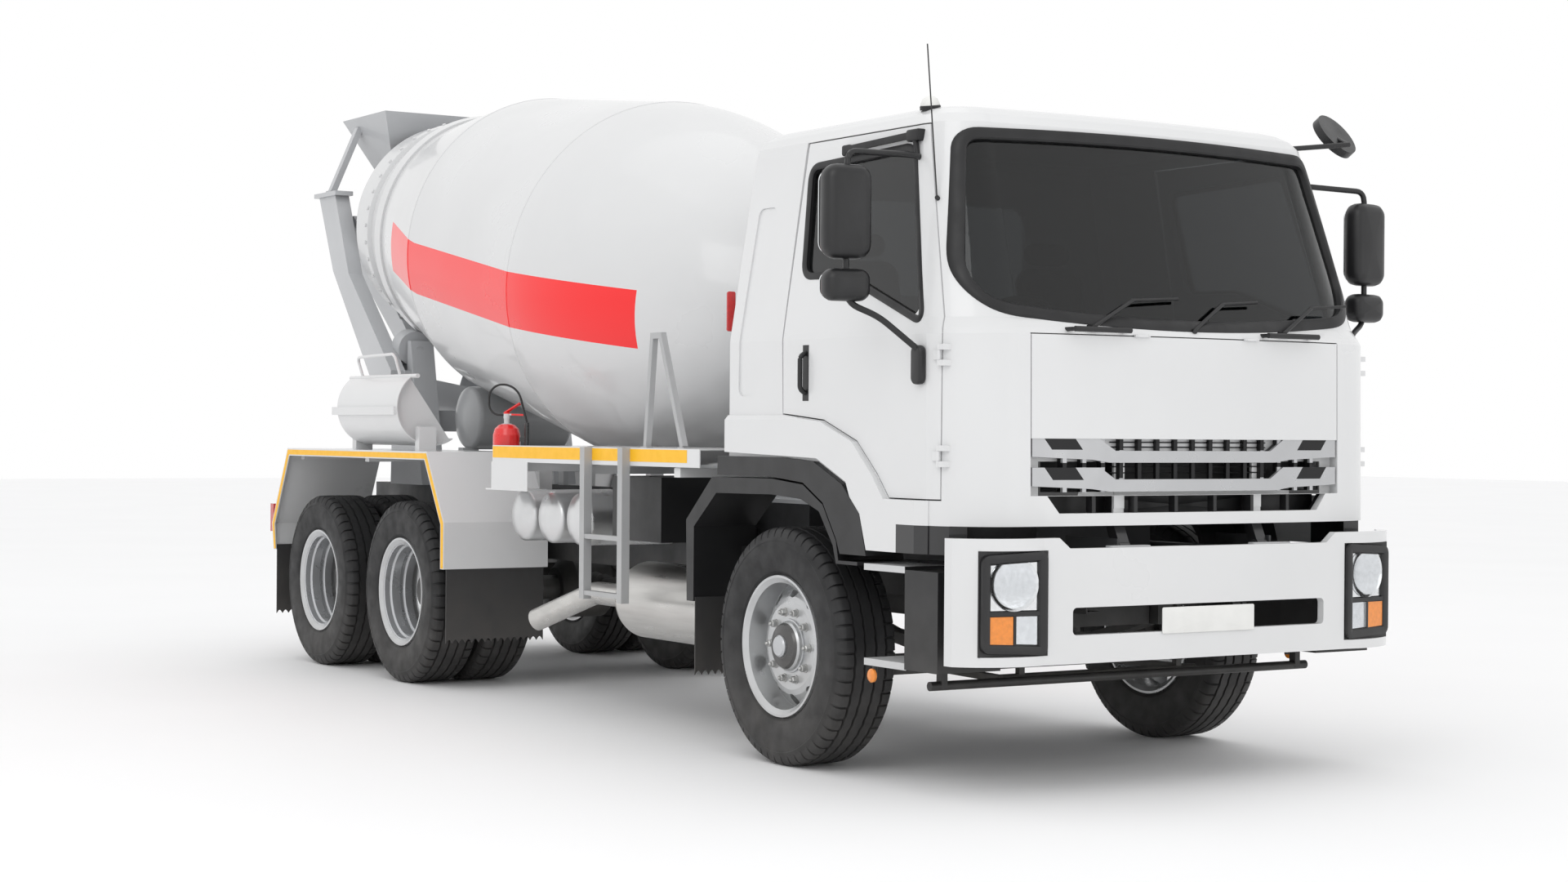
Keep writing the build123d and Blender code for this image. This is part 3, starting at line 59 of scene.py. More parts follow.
class Finish:
    """A finish under construction: its node tree, its shader and the piece's own coordinates."""

    def __init__(self, name, colour, rough, metallic=0.0, coat=0.0):
        self.material = bpy.data.materials.new(name)
        self.material.use_nodes = True
        self.tree = self.material.node_tree
        self.shader = self.tree.nodes["Principled BSDF"]
        self.coords = self.tree.nodes.new("ShaderNodeTexCoord").outputs["Object"]
        self.colour = (*colour, 1.0)
        self.shader.inputs["Base Color"].default_value = self.colour
        self.shader.inputs["Roughness"].default_value = rough
        self.shader.inputs["Metallic"].default_value = metallic
        self.shader.inputs["Coat Weight"].default_value = coat
        self.shader.inputs["Coat Roughness"].default_value = 0.06
        self.rough = rough
        self.tint = None

    def node(self, kind, **values):
        """A new node of a kind, with some of its settings."""
        made = self.tree.nodes.new(kind)
        for key, value in values.items():
            setattr(made, key, value)
        return made

    def link(self, source, target):
        """Joins an output to an input."""
        self.tree.links.new(source, target)

    def noise(self, scale, detail=4.0, stretch=(1, 1, 1)):
        """Cloudy noise on the piece's coordinates, stretched along an axis where that is asked."""
        place = self.node("ShaderNodeMapping")
        place.inputs["Scale"].default_value = stretch
        self.link(self.coords, place.inputs["Vector"])
        cloud = self.node("ShaderNodeTexNoise")
        cloud.inputs["Scale"].default_value = scale
        cloud.inputs["Detail"].default_value = detail
        self.link(place.outputs["Vector"], cloud.inputs["Vector"])
        return cloud.outputs["Fac"]

    def ramp(self, source, low, high, out_low=0.0, out_high=1.0):
        """Carries a value from one range to another, held at both ends."""
        scale = self.node("ShaderNodeMapRange")
        ends = {"From Min": low, "From Max": high, "To Min": out_low, "To Max": out_high}
        for socket, value in ends.items():
            scale.inputs[socket].default_value = value
        self.link(source, scale.inputs["Value"])
        return scale.outputs["Result"]

    def math(self, operation, first, second=0.0):
        """Arithmetic on two values, each a number or another node's output."""
        made = self.node("ShaderNodeMath", operation=operation)
        for socket, value in zip(made.inputs, (first, second)):
            if isinstance(value, (int, float)):
                socket.default_value = value
            else:
                self.link(value, socket)
        return made.outputs[0]

    def paint(self, factor, colour):
        """Lays a colour over what is there, by a factor."""
        mix = self.node("ShaderNodeMix", data_type="RGBA")
        self.link(factor, mix.inputs[0])
        if self.tint is None:
            mix.inputs[6].default_value = self.colour
        else:
            self.link(self.tint, mix.inputs[6])
        mix.inputs[7].default_value = (*colour, 1.0)
        self.tint = mix.outputs[2]
        self.link(self.tint, self.shader.inputs["Base Color"])
        return self

    def vary(self, amount, scale=2.5, stretch=(1, 1, 1)):
        """Slight change of tone over the surface, and of gloss with it."""
        darker = tuple(c * (1 - amount) for c in self.colour[:3])
        cloud = self.noise(scale, 5.0, stretch)
        self.paint(self.ramp(cloud, 0.35, 0.7), darker)
        gloss = self.ramp(cloud, 0.3, 0.7, self.rough * 0.85, min(1.0, self.rough * 1.2))
        self.link(gloss, self.shader.inputs["Roughness"])
        return self

    def dust(self, amount, top, colour=(0.42, 0.39, 0.34)):
        """Road dust that thins out with height."""
        fall = self.ramp(self.along("Z"), 0.25, top, amount, 0.0)
        self.paint(self.math("MULTIPLY", fall, self.noise(9.0, 6.0)), colour)
        return self

    def bump(self, scale, strength, distance=0.001, stretch=(1, 1, 1)):
        """A fine relief from noise."""
        relief = self.node("ShaderNodeBump")
        relief.inputs["Strength"].default_value = strength
        relief.inputs["Distance"].default_value = distance
        self.link(self.noise(scale, 3.0, stretch), relief.inputs["Height"])
        self.link(relief.outputs["Normal"], self.shader.inputs["Normal"])
        return self

    def see_through(self, bending):
        """Lets light through, bent by an index of refraction."""
        self.shader.inputs["Transmission Weight"].default_value = 1.0
        self.shader.inputs["IOR"].default_value = bending
        return self

    def along(self, axis):
        """One coordinate of the piece."""
        split = self.node("ShaderNodeSeparateXYZ")
        self.link(self.coords, split.inputs["Vector"])
        return split.outputs[axis]

    def between(self, source, low, high):
        """One inside a range and nought outside it."""
        above = self.math("GREATER_THAN", source, low)
        below = self.math("LESS_THAN", source, high)
        return self.math("MULTIPLY", above, below)

    def distance_from(self, centre, kept=(1, 0, 1)):
        """Distance from an axis through a point, over the coordinates that are kept."""
        shift = self.node("ShaderNodeVectorMath", operation="SUBTRACT")
        self.link(self.coords, shift.inputs[0])
        shift.inputs[1].default_value = centre
        flat = self.node("ShaderNodeVectorMath", operation="MULTIPLY")
        self.link(shift.outputs[0], flat.inputs[0])
        flat.inputs[1].default_value = kept
        length = self.node("ShaderNodeVectorMath", operation="LENGTH")
        self.link(flat.outputs[0], length.inputs[0])
        return length.outputs["Value"]


white_paint = Finish("white body paint", (0.70, 0.705, 0.71), 0.32, coat=0.5)
white_paint.vary(0.035, 1.2).dust(0.10, 1.3).bump(900, 0.03, 0.0002)
mixer_paint = Finish("pale mixer paint", (0.50, 0.51, 0.525), 0.36, coat=0.4)
mixer_paint.vary(0.06, 1.6).dust(0.12, 1.2).bump(500, 0.05, 0.0003)
grey_paint = Finish("grey step paint", (0.42, 0.425, 0.43), 0.42)
grey_paint.vary(0.08, 5).dust(0.2, 1.0).bump(400, 0.08, 0.0004)
frame_paint = Finish("black chassis paint", (0.035, 0.036, 0.038), 0.5)
frame_paint.vary(0.3, 6).dust(0.35, 0.9).bump(160, 0.12, 0.0006)
dark_plastic = Finish("grained black plastic", (0.013, 0.013, 0.014), 0.38)
dark_plastic.vary(0.2, 8).dust(0.08, 0.8).bump(700, 0.25, 0.0004)
seal_rubber = Finish("black window rubber", (0.006, 0.006, 0.007), 0.45)
seal_rubber.vary(0.15, 10).bump(500, 0.1, 0.0003)
tyre_rubber = Finish("tyre rubber", (0.014, 0.014, 0.015), 0.62)
tyre_rubber.vary(0.25, 12).dust(0.35, 0.6, (0.16, 0.15, 0.14)).bump(260, 0.2, 0.0006)
flap_rubber = Finish("mudflap rubber", (0.03, 0.03, 0.031), 0.6)
flap_rubber.vary(0.2, 9).dust(0.4, 0.8, (0.22, 0.2, 0.18)).bump(120, 0.25, 0.0008)
brushed = Finish("brushed muffler steel", (0.62, 0.61, 0.59), 0.3, metallic=1.0)
brushed.vary(0.12, 30, (0.1, 1, 1)).bump(260, 0.25, 0.0003, (0.03, 1, 1))
air_tank_metal = Finish("air tank silver", (0.72, 0.725, 0.73), 0.3, metallic=0.85)
air_tank_metal.vary(0.08, 6).bump(500, 0.08, 0.0003)
alloy = Finish("satin fuel tank alloy", (0.7, 0.71, 0.72), 0.28, metallic=1.0)
alloy.vary(0.1, 24, (1, 1, 0.08)).bump(300, 0.15, 0.0003, (1, 1, 0.05))
water_metal = Finish("grey water tank paint", (0.42, 0.43, 0.44), 0.34, coat=0.3)
water_metal.vary(0.08, 3).bump(400, 0.05, 0.0003)
silver = Finish("silver trim paint", (0.55, 0.56, 0.575), 0.28, metallic=0.7)
silver.vary(0.06, 10).bump(600, 0.05, 0.0002)
hose_rubber = Finish("black hose rubber", (0.015, 0.015, 0.016), 0.45)
hose_rubber.vary(0.2, 14).bump(900, 0.2, 0.0003)
amber = Finish("amber lens", (0.85, 0.26, 0.02), 0.12, coat=0.8)
amber.vary(0.15, 60).bump(240, 0.5, 0.0008, (1, 1, 0.1))
red_lens = Finish("red lens", (0.55, 0.012, 0.012), 0.12, coat=0.8)
red_lens.vary(0.2, 60).bump(260, 0.5, 0.0008)
tape = Finish("yellow marker tape", (0.98, 0.52, 0.005), 0.4)
tape.vary(0.06, 20).bump(420, 0.4, 0.0004)
chrome = Finish("lamp reflector", (0.82, 0.83, 0.84), 0.12, metallic=1.0)
chrome.vary(0.1, 40).bump(90, 0.3, 0.001)
zinc = Finish("zinc nuts", (0.5, 0.5, 0.49), 0.35, metallic=0.9)
zinc.vary(0.15, 60).bump(300, 0.2, 0.0003)
plate_white = Finish("blank plate", (0.78, 0.78, 0.76), 0.4)
plate_white.vary(0.05, 12).bump(300, 0.1, 0.0003)
cloth = Finish("seat weave", (0.055, 0.057, 0.062), 0.9)
cloth.vary(0.35, 90).bump(1400, 0.6, 0.001)
cloth.shader.inputs["Sheen Weight"].default_value = 0.3
interior = Finish("cab lining", (0.16, 0.16, 0.165), 0.75)
interior.vary(0.2, 14).bump(600, 0.3, 0.0005)

tinted = Finish("tinted cab glass", (0.10, 0.108, 0.112), 0.03)
tinted.see_through(1.45).bump(3.0, 0.02, 0.0005)
clear_lens = Finish("clear lamp lens", (0.93, 0.94, 0.95), 0.04)
clear_lens.see_through(1.3).bump(160, 0.25, 0.0006, (1, 1, 0.1))
mirror_glass = Finish("mirror glass", (0.75, 0.77, 0.78), 0.03, metallic=1.0)
mirror_glass.vary(0.03, 5).bump(5, 0.02, 0.0003)

DRUM_TILT = radians(9.7)
DRUM_ORIGIN = np.array((FRONT_AXLE - 3.22, 0.0, 2.388))
DRUM_AXIS = np.array((-cos(DRUM_TILT), 0.0, sin(DRUM_TILT)))
DRUM_UP = np.array((sin(DRUM_TILT), 0.0, cos(DRUM_TILT)))
BAND_HEIGHTS = (-0.294, 0.022)
BAND_STATIONS = (-1.08, 2.155)


def drum_finish():
    """White drum paint with one red band along each flank: a slab of heights above the drum's axis, which
    lifts a little towards both ends."""
    paint = Finish("white drum paint with a red band", (0.68, 0.685, 0.69), 0.3, coat=0.5)
    paint.vary(0.04, 1.4)
    shift = paint.node("ShaderNodeVectorMath", operation="SUBTRACT")
    paint.link(paint.coords, shift.inputs[0])
    shift.inputs[1].default_value = tuple(DRUM_ORIGIN)
    measures = []
    for direction in (DRUM_UP, DRUM_AXIS):
        dot = paint.node("ShaderNodeVectorMath", operation="DOT_PRODUCT")
        paint.link(shift.outputs[0], dot.inputs[0])
        dot.inputs[1].default_value = tuple(direction)
        measures.append(dot.outputs["Value"])
    height, station = measures
    height = paint.math("SUBTRACT", height, paint.ramp(station, 1.5, 2.15, 0.0, 0.07))
    height = paint.math("SUBTRACT", height, paint.ramp(station, -1.08, 0.0, 0.04, 0.0))
    across = paint.between(height, *BAND_HEIGHTS)
    along = paint.between(station, *BAND_STATIONS)
    paint.paint(paint.math("MULTIPLY", across, along), (0.92, 0.001, 0.003))
    return paint.bump(420, 0.05, 0.0003)


def rim_finish(name, x, dark_radius):
    """Silver rim paint, dark inside a radius round the wheel's axis."""
    paint = Finish(name, (0.58, 0.59, 0.60), 0.3, metallic=0.75)
    paint.vary(0.08, 9)
    inside = paint.math("LESS_THAN", paint.distance_from((x, 0, WHEEL_Z)), dark_radius)
    paint.paint(inside, (0.09, 0.09, 0.092))
    return paint.dust(0.25, 1.0).bump(500, 0.08, 0.0003)


def grille_finish():
    """Silver wing bars; black where the bars behind them show, by depth and by the gaps' heights."""
    paint = Finish("silver wings over black bars", (0.50, 0.505, 0.515), 0.3, metallic=0.6)
    paint.vary(0.05, 8)
    x, y, z = (paint.along(axis) for axis in "XYZ")
    bow = paint.math("ADD", x, paint.math("MULTIPLY", paint.math("MULTIPLY", y, y), 0.0556))
    deep = paint.math("LESS_THAN", bow, FRONT_AXLE + 1.432)
    middle = paint.math("LESS_THAN", paint.math("ABSOLUTE", y), 0.445)
    gaps = paint.math("ADD", paint.between(z, 1.33, 1.395), paint.math("GREATER_THAN", z, 1.449))
    seam = paint.math("ADD", paint.between(z, 1.376, 1.395), paint.math("MULTIPLY", middle, gaps))
    for top, depth in ((1.496, 0.046), (1.375, 0.052)):
        drop = paint.math("MULTIPLY", paint.math("SUBTRACT", top, z), 0.8)
        slant = paint.math("ADD", paint.math("ABSOLUTE", y), drop)
        level = paint.between(z, top - depth, top + 0.01)
        notch = paint.math("MULTIPLY", paint.between(slant, 0.645, 0.80), level)
        seam = paint.math("ADD", seam, notch)
    paint.paint(paint.ramp(paint.math("ADD", deep, seam), 0.0, 0.9), (0.02, 0.02, 0.021))
    return paint.bump(600, 0.05, 0.0002)


def shell_finish():
    """White cab paint, black below the front panel where only the tilt arms and the inner skirt show."""
    paint = Finish("white cab paint over a black skirt", (0.70, 0.705, 0.71), 0.32, coat=0.5)
    paint.vary(0.035, 1.2).dust(0.08, 1.6)
    skirt = paint.math("LESS_THAN", paint.along("Z"), 1.1295)
    middle = paint.math("LESS_THAN", paint.math("ABSOLUTE", paint.along("Y")), 0.80)
    behind = paint.math("MULTIPLY", paint.math("LESS_THAN", paint.along("Z"), 1.40), middle)
    behind = paint.math("MULTIPLY", behind, paint.math("LESS_THAN", paint.along("X"), FRONT_AXLE + 1.385))
    dark = paint.math("MAXIMUM", skirt, behind)
    front = paint.math("GREATER_THAN", paint.along("X"), FRONT_AXLE + 0.95)
    paint.paint(paint.math("MULTIPLY", dark, front), (0.012, 0.012, 0.013))
    return paint.bump(900, 0.03, 0.0002)


def step_finish():
    """Black step boxes whose treads are silver, by height and by how far back they stand."""
    paint = Finish("black step box with silver treads", (0.012, 0.012, 0.013), 0.42)
    paint.vary(0.2, 8)
    z = paint.along("Z")
    treads = paint.math("ADD", paint.between(z, 0.513, 0.547), paint.between(z, 0.923, 0.955))
    behind_box = paint.math("LESS_THAN", paint.along("X"), FRONT_AXLE + 1.0095)
    paint.paint(paint.math("MULTIPLY", treads, behind_box), (0.55, 0.555, 0.56))
    return paint.dust(0.12, 0.9).bump(500, 0.2, 0.0004)


def extinguisher_finish():
    """Red bottle and levers, a silver valve, and a black nozzle away from the bottle's axis."""
    paint = Finish("red extinguisher", (0.78, 0.012, 0.012), 0.25, coat=0.7)
    paint.vary(0.08, 8)
    z = paint.along("Z")
    reach = paint.distance_from((FRONT_AXLE - 2.99, -1.1575, 0), (1, 1, 0))
    valve = paint.math("MULTIPLY", paint.between(z, 1.53, 1.604), paint.math("LESS_THAN", reach, 0.03))
    paint.paint(valve, (0.6, 0.6, 0.6))
    nozzle = paint.math("MULTIPLY", paint.between(z, 1.40, 1.57), paint.math("GREATER_THAN", reach, 0.078))
    paint.paint(nozzle, (0.015, 0.015, 0.015))
    return paint.bump(500, 0.04, 0.0002)


drum_paint = drum_finish()

worn_by = (
    (frame_paint, "chassis_frame front_axle rear_axles suspension driveline"),
    (frame_paint, "knuckle_left knuckle_right tie_rod"),
    (white_paint, "bumper decks rear_mudguards front_lid door_left door_right stowed_chute"),
    (mixer_paint, "drum_drive rear_frame charge_hopper discharge_hopper"),
    (mixer_paint, "chute_turntable chute_main chute_fold"),
    (dark_plastic, "front_mudguards battery_box arch_flares cab_trim headlamps"),
    (dark_plastic, "mirrors_left mirrors_right steering_wheel"),
    (tinted, "cab_glass door_glass_left door_glass_right"),
    (shell_finish(), "cab_shell"),
    (step_finish(), "cab_steps"),
    (grille_finish(), "grille"),
    (extinguisher_finish(), "fire_extinguisher"),
    (drum_paint, "drum"),
    (water_metal, "water_tank"),
    (grey_paint, "ladder"),
    (interior, "dashboard"),
    (red_lens, "tail_lamps"),
    (cloth, "seats"),
    (hose_rubber, "extinguisher_hose"),
    (brushed, "exhaust"),
    (air_tank_metal, "air_tanks"),
    (alloy, "fuel_tank"),
    (flap_rubber, "mudflaps"),
    (rim_finish("front rim", FRONT_AXLE, 0.105), "rim_front_left rim_front_right"),
    (rim_finish("middle rim", MIDDLE_AXLE, 0.236), "rims_middle_left rims_middle_right"),
    (rim_finish("rear rim", REAR_AXLE, 0.236), "rims_rear_left rims_rear_right"),
)
finish_of = {name: finish for finish, names in worn_by for name in names.split()}
for name, node in nodes.items():
    made = finish_of.get(name, tyre_rubber).material
    if node.material_slots:
        for slot in node.material_slots:
            slot.material = made
    else:
        node.data.materials.append(made)


# Shapes: each is (points, four-sided faces, three-sided faces)


def outward(shape):
    """The shape with its faces turned outwards, by the sign of its volume: a sixth of the sum of a . (b x c)
    over its triangles."""
    points, quads, tris = shape
    halves = np.vstack([quads[:, (0, 1, 2)], quads[:, (0, 2, 3)], tris])
    a, b, c = (points[halves[:, k]] for k in range(3))
    middle = points.mean(axis=0)
    if np.einsum("ij,ij->i", a - middle, np.cross(b - middle, c - middle)).sum() < 0:
        quads, tris = quads[:, ::-1], tris[:, ::-1]
    return points, quads, tris


def grid(rows, wrap_rows=False):
    """A net of four-sided faces over closed rows of points. The first and last rows are joined, or else each
    is closed to its middle point."""
    count, width = rows.shape[:2]
    down = np.arange(count if wrap_rows else count - 1)
    over = np.arange(width)
    i, j = np.meshgrid(down, over, indexing="ij")
    row, next_row, beside = i * width, (i + 1) % count * width, (j + 1) % width
    quads = np.stack([row + j, row + beside, next_row + beside, next_row + j], axis=-1)
    points = rows.reshape(-1, 3)
    tris = np.zeros((0, 3), int)
    if not wrap_rows:
        first = np.stack([over, (over + 1) % width, np.full_like(over, len(points))], axis=-1)[:, ::-1]
        last = (count - 1) * width + np.stack([over, (over + 1) % width, over], axis=-1)
        last[:, 2] = len(points) + 1
        tris = np.vstack([first, last])
        points = np.vstack([points, rows[0].mean(axis=0), rows[-1].mean(axis=0)])
    return outward((points, quads.reshape(-1, 4), tris))


def join(shapes):
    """Several shapes as one, their points numbered on."""
    points, quads, tris, base = [], [], [], 0
    for p, q, t in shapes:
        points.append(p)
        quads.append(q + base)
        tris.append(t + base)
        base += len(p)
    return np.vstack(points), np.vstack(quads), np.vstack(tris)


def unit(v):
    """Vectors at a length of one."""
    v = np.asarray(v, float)
    return v / np.linalg.norm(v, axis=-1, keepdims=True)


def turned(profile, centre, axis, count=48, ring=False):
    """A profile of (station, radius) turned about an axis: p = c + a s + r (u cos t + v sin t)."""
    profile = np.asarray(profile, float)
    axis = unit(axis)
    helper = np.array((0.0, 0.0, 1.0)) if abs(axis[2]) < 0.9 else np.array((1.0, 0.0, 0.0))
    u = unit(np.cross(axis, helper))
    v = np.cross(axis, u)
    t = np.linspace(0, 2 * pi, count, endpoint=False)
    spoke = np.outer(np.cos(t), u) + np.outer(np.sin(t), v)
    rows = np.asarray(centre) + profile[:, None, 0:1] * axis + profile[:, None, 1:2] * spoke[None]
    return grid(rows, wrap_rows=ring)


def carried(path, section, up=(0, 0, 1)):
    """A flat section carried along a path: each row is path + side a + upright b."""
    path = np.asarray(path, float)
    ahead = unit(np.gradient(path, axis=0))
    side = unit(np.cross(ahead, np.asarray(up, float)))
    upright = np.cross(side, ahead)
    section = np.asarray(section, float)
    rows = path[:, None] + section[None, :, 0:1] * side[:, None] + section[None, :, 1:2] * upright[:, None]
    return grid(rows)


def bent(points, bend, steps=6):
    """A path through corners that are rounded by a parabola of the given reach."""
    points = [np.asarray(p, float) for p in points]
    path = [points[0][None]]
    s = np.linspace(0, 1, steps)[:, None]
    for before, corner, after in zip(points, points[1:], points[2:]):
        start = corner + unit(before - corner) * bend
        end = corner + unit(after - corner) * bend
        path.append((1 - s) ** 2 * start + 2 * s * (1 - s) * corner + s**2 * end)
    path.append(points[-1][None])
    return np.vstack(path)


def pipe(points, radius, bend=0.04):
    """A round tube along a path with rounded corners. Its sections stand to a slanted direction, so that no
    stretch of a path runs along it."""
    t = np.linspace(0, 2 * pi, 14, endpoint=False)
    return carried(bent(points, bend), radius * np.stack([np.cos(t), np.sin(t)], axis=-1), (0.13, 0.31, 0.94))


def block(centre, size, corner=0.01, edge=0.004, axis=0, turn=0.0, lean=0.0):
    """A rounded block: a rounded rectangle carried along an axis and drawn in at both ends by a quarter
    circle, then turned about Z and leaned about Y."""
    size = np.asarray(size, float) / 2
    first, second = [k for k in range(3) if k != axis]
    t = np.linspace(0, pi / 2, 4)
    inset = edge * (1 - np.sin(t))
    lift = edge * (1 - np.cos(t))
    stations = np.concatenate([-size[axis] + lift, (size[axis] - lift)[::-1]])
    insets = np.concatenate([inset, inset[::-1]])
    corner = min(max(corner, edge + 1e-4), size[first] * 0.98, size[second] * 0.98)
    angle = (np.arange(4)[:, None] * pi / 2 + np.linspace(0, pi / 2, 6)[None]).ravel()
    sign_a = np.repeat((1, -1, -1, 1), 6)
    sign_b = np.repeat((1, 1, -1, -1), 6)
    rows = np.zeros((len(stations), len(angle), 3))
    rows[..., axis] = stations[:, None]
    rows[..., first] = sign_a * (size[first] - corner) + (corner - insets[:, None]) * np.cos(angle)
    rows[..., second] = sign_b * (size[second] - corner) + (corner - insets[:, None]) * np.sin(angle)
    spin = np.array(Matrix.Rotation(turn, 3, "Z") @ Matrix.Rotation(lean, 3, "Y"))
    return grid(rows @ spin.T + np.asarray(centre, float))


def circled(shape, count, centre, axis=(0, 1, 0)):
    """Copies of a shape set round an axis at even angles."""
    copies, centre = [], np.asarray(centre, float)
    for step in range(count):
        spin = np.array(Matrix.Rotation(2 * pi * step / count, 3, Vector(axis)))
        copies.append(((shape[0] - centre) @ spin.T + centre, shape[1], shape[2]))
    return join(copies)


def piece(name, shape, finish, body, replaces=()):
    """Puts a shape into the scene as a named piece that moves with a body."""
    points, quads, tris = shape
    mesh = bpy.data.meshes.new(name)
    mesh.from_pydata(points.tolist(), [], quads.tolist() + tris.tolist())
    mesh.shade_smooth()
    mesh.set_sharp_from_angle(angle=radians(SHARP_ANGLE))
    mesh.materials.append(finish.material)
    made = bpy.data.objects.new(name, mesh)
    bpy.context.collection.objects.link(made)
    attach(made, body)
    if replaces:
        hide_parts(*replaces)
    return made


def at(x):
    """A place along X, from a distance ahead of the front axle."""
    return FRONT_AXLE + x


def flanked(places, side):
    """Places given as (ahead of the front axle, out from the middle, height), on one side of the truck."""
    return [(at(ahead), side * out, z) for ahead, out, z in places]


def flat_bar(half, tall, tip):
    """The section of a flat bar whose two sides come to a blunt point."""
    return [(-half, -tall), (half, -tall), (tip, 0.0), (half, tall), (-half, tall), (-tip, 0.0)]


# Cab form, for pieces that lie on it

CAB_Z = np.array((1.010, 1.930, 1.956, 2.000, 2.800))
CAB_FRONT = np.array((1.455, 1.445, 1.427, 1.385, 1.125))
CAB_HALF = np.array((1.205, 1.205, 1.202, 1.195, 1.065))
CAB_CORNER = np.array((0.320, 0.320, 0.317, 0.310, 0.230))
CAB_SAG = 0.045
SLOPE_STEP = 0.004


def corner_circle(front, half, corner):
    """Centre and radius of the arc that rounds the cab's front corner, through its three set points."""
    ax, ay = front - corner, half
    bx, by = front - 0.40 * corner, half - 0.32 * corner
    cx, cy = front - CAB_SAG, half - 0.95 * corner
    d = 2 * (ax * (by - cy) + bx * (cy - ay) + cx * (ay - by))
    a2, b2, c2 = ax**2 + ay**2, bx**2 + by**2, cx**2 + cy**2
    ux = (a2 * (by - cy) + b2 * (cy - ay) + c2 * (ay - by)) / d
    uy = (a2 * (cx - bx) + b2 * (ax - cx) + c2 * (bx - ax)) / d
    return ux, uy, np.hypot(ax - ux, ay - uy)


def cab_level(z):
    """Front, half width and corner depth of the cab at a height."""
    return (np.interp(z, CAB_Z, values) for values in (CAB_FRONT, CAB_HALF, CAB_CORNER))


def front_x(y, z):
    """X of the cab's front face at a width and a height: a shallow bow, then the corner's arc."""
    y = np.abs(y)
    front, half, corner = cab_level(z)
    flat = half - 0.95 * corner
    bow = front - CAB_SAG * (y / flat) ** 2
    ux, uy, radius = corner_circle(front, half, corner)
    arc = ux + np.sqrt(np.maximum(radius**2 - (y - uy) ** 2, 0))
    return FRONT_AXLE + np.where(y <= flat, bow, arc)


def side_y(x, z):
    """Half width of the cab at a place along X and a height: flat, then the corner's arc."""
    front, half, corner = cab_level(z)
    ux, uy, radius = corner_circle(front, half, corner)
    local = x - FRONT_AXLE
    arc = uy + np.sqrt(np.maximum(radius**2 - (local - ux) ** 2, 0))
    return np.where(local <= front - corner, half, arc)


def on_front(y, z):
    """Points on the front face, with the direction that points away from it."""
    x = front_x(y, z)
    slope_y = (front_x(y + SLOPE_STEP, z) - front_x(y - SLOPE_STEP, z)) / (2 * SLOPE_STEP)
    slope_z = (front_x(y, z + SLOPE_STEP) - front_x(y, z - SLOPE_STEP)) / (2 * SLOPE_STEP)
    return np.stack([x, y, z], axis=-1), unit(np.stack([np.ones_like(x), -slope_y, -slope_z], axis=-1))


def on_side(side):
    """The same for one flank, for outlines given as (x, z)."""
    def place(x, z):
        y = side_y(x, z)
        slope_x = (side_y(x + SLOPE_STEP, z) - side_y(x - SLOPE_STEP, z)) / (2 * SLOPE_STEP)
        slope_z = (side_y(x, z + SLOPE_STEP) - side_y(x, z - SLOPE_STEP)) / (2 * SLOPE_STEP)
        away = np.stack([-slope_x, np.ones_like(y), -slope_z], axis=-1)
        away[..., 1] *= side
        return np.stack([x, side * y, z], axis=-1), unit(away)
    return place


def evened(outline, count, window):
    """A closed outline at even steps, its corners rounded by a running mean."""
    outline = np.asarray(outline, float)
    ring = np.vstack([outline, outline[:1]])
    travel = np.concatenate([[0], np.cumsum(np.linalg.norm(np.diff(ring, axis=0), axis=1))])
    even = np.linspace(0, travel[-1], count, endpoint=False)
    points = np.stack([np.interp(even, travel, ring[:, k]) for k in range(2)], axis=-1)
    shifts = range(-window, window + 1)
    return sum(np.roll(points, s, 0) for s in shifts) / len(shifts)


def arc(start, via, end, count=16):
    """Points on the circle through three points of a plane."""
    a, b, c = (np.asarray(p, float) for p in (start, via, end))
    d = 2 * (a[0] * (b[1] - c[1]) + b[0] * (c[1] - a[1]) + c[0] * (a[1] - b[1]))
    a2, b2, c2 = (p @ p for p in (a, b, c))
    centre = np.array(((a2 * (b[1] - c[1]) + b2 * (c[1] - a[1]) + c2 * (a[1] - b[1])) / d,
                       (a2 * (c[0] - b[0]) + b2 * (a[0] - c[0]) + c2 * (b[0] - a[0])) / d))
    first, middle, last = (np.arctan2(*(p - centre)[::-1]) for p in (a, b, c))
    sweep = (last - first) % (2 * pi)
    if (middle - first) % (2 * pi) > sweep:
        sweep -= 2 * pi
    t = first + np.linspace(0, 1, count) * sweep
    return centre + np.linalg.norm(a - centre) * np.stack([np.cos(t), np.sin(t)], axis=-1)


def band(outline, section, place):
    """A profile of (reach outwards in the surface, height off it) carried round an outline on a surface."""
    along = unit(np.roll(outline, -1, 0) - np.roll(outline, 1, 0))
    out = np.stack([along[:, 1], -along[:, 0]], axis=-1)
    area = np.sum(outline[:, 0] * np.roll(outline[:, 1], -1) - np.roll(outline[:, 0], -1) * outline[:, 1])
    out *= np.sign(area)
    section = np.asarray(section, float)
    spread = outline[:, None] + section[None, :, 0:1] * out[:, None]
    points, away = place(spread[..., 0], spread[..., 1])
    return grid(points + section[None, :, 1:2] * away, wrap_rows=True)


def patch(low, high, place, lift, thickness, shape=(8, 8)):
    """A thin sheet laid on a surface between two corners of its (across, up) range."""
    u = np.linspace(low[0], high[0], shape[0])
    v = np.linspace(low[1], high[1], shape[1])
    edge = np.vstack([
        np.stack([u, np.full_like(u, v[0])], -1),
        np.stack([np.full_like(v, u[-1]), v], -1)[1:],
        np.stack([u[::-1], np.full_like(u, v[-1])], -1)[1:],
        np.stack([np.full_like(v, u[0]), v[::-1]], -1)[1:-1],
    ])
    points, away = place(edge[:, 0], edge[:, 1])
    rows = np.stack([points + away * (lift - thickness), points + away * lift])
    return grid(rows)


# Wheels: profiles are (station along the axle, radius)

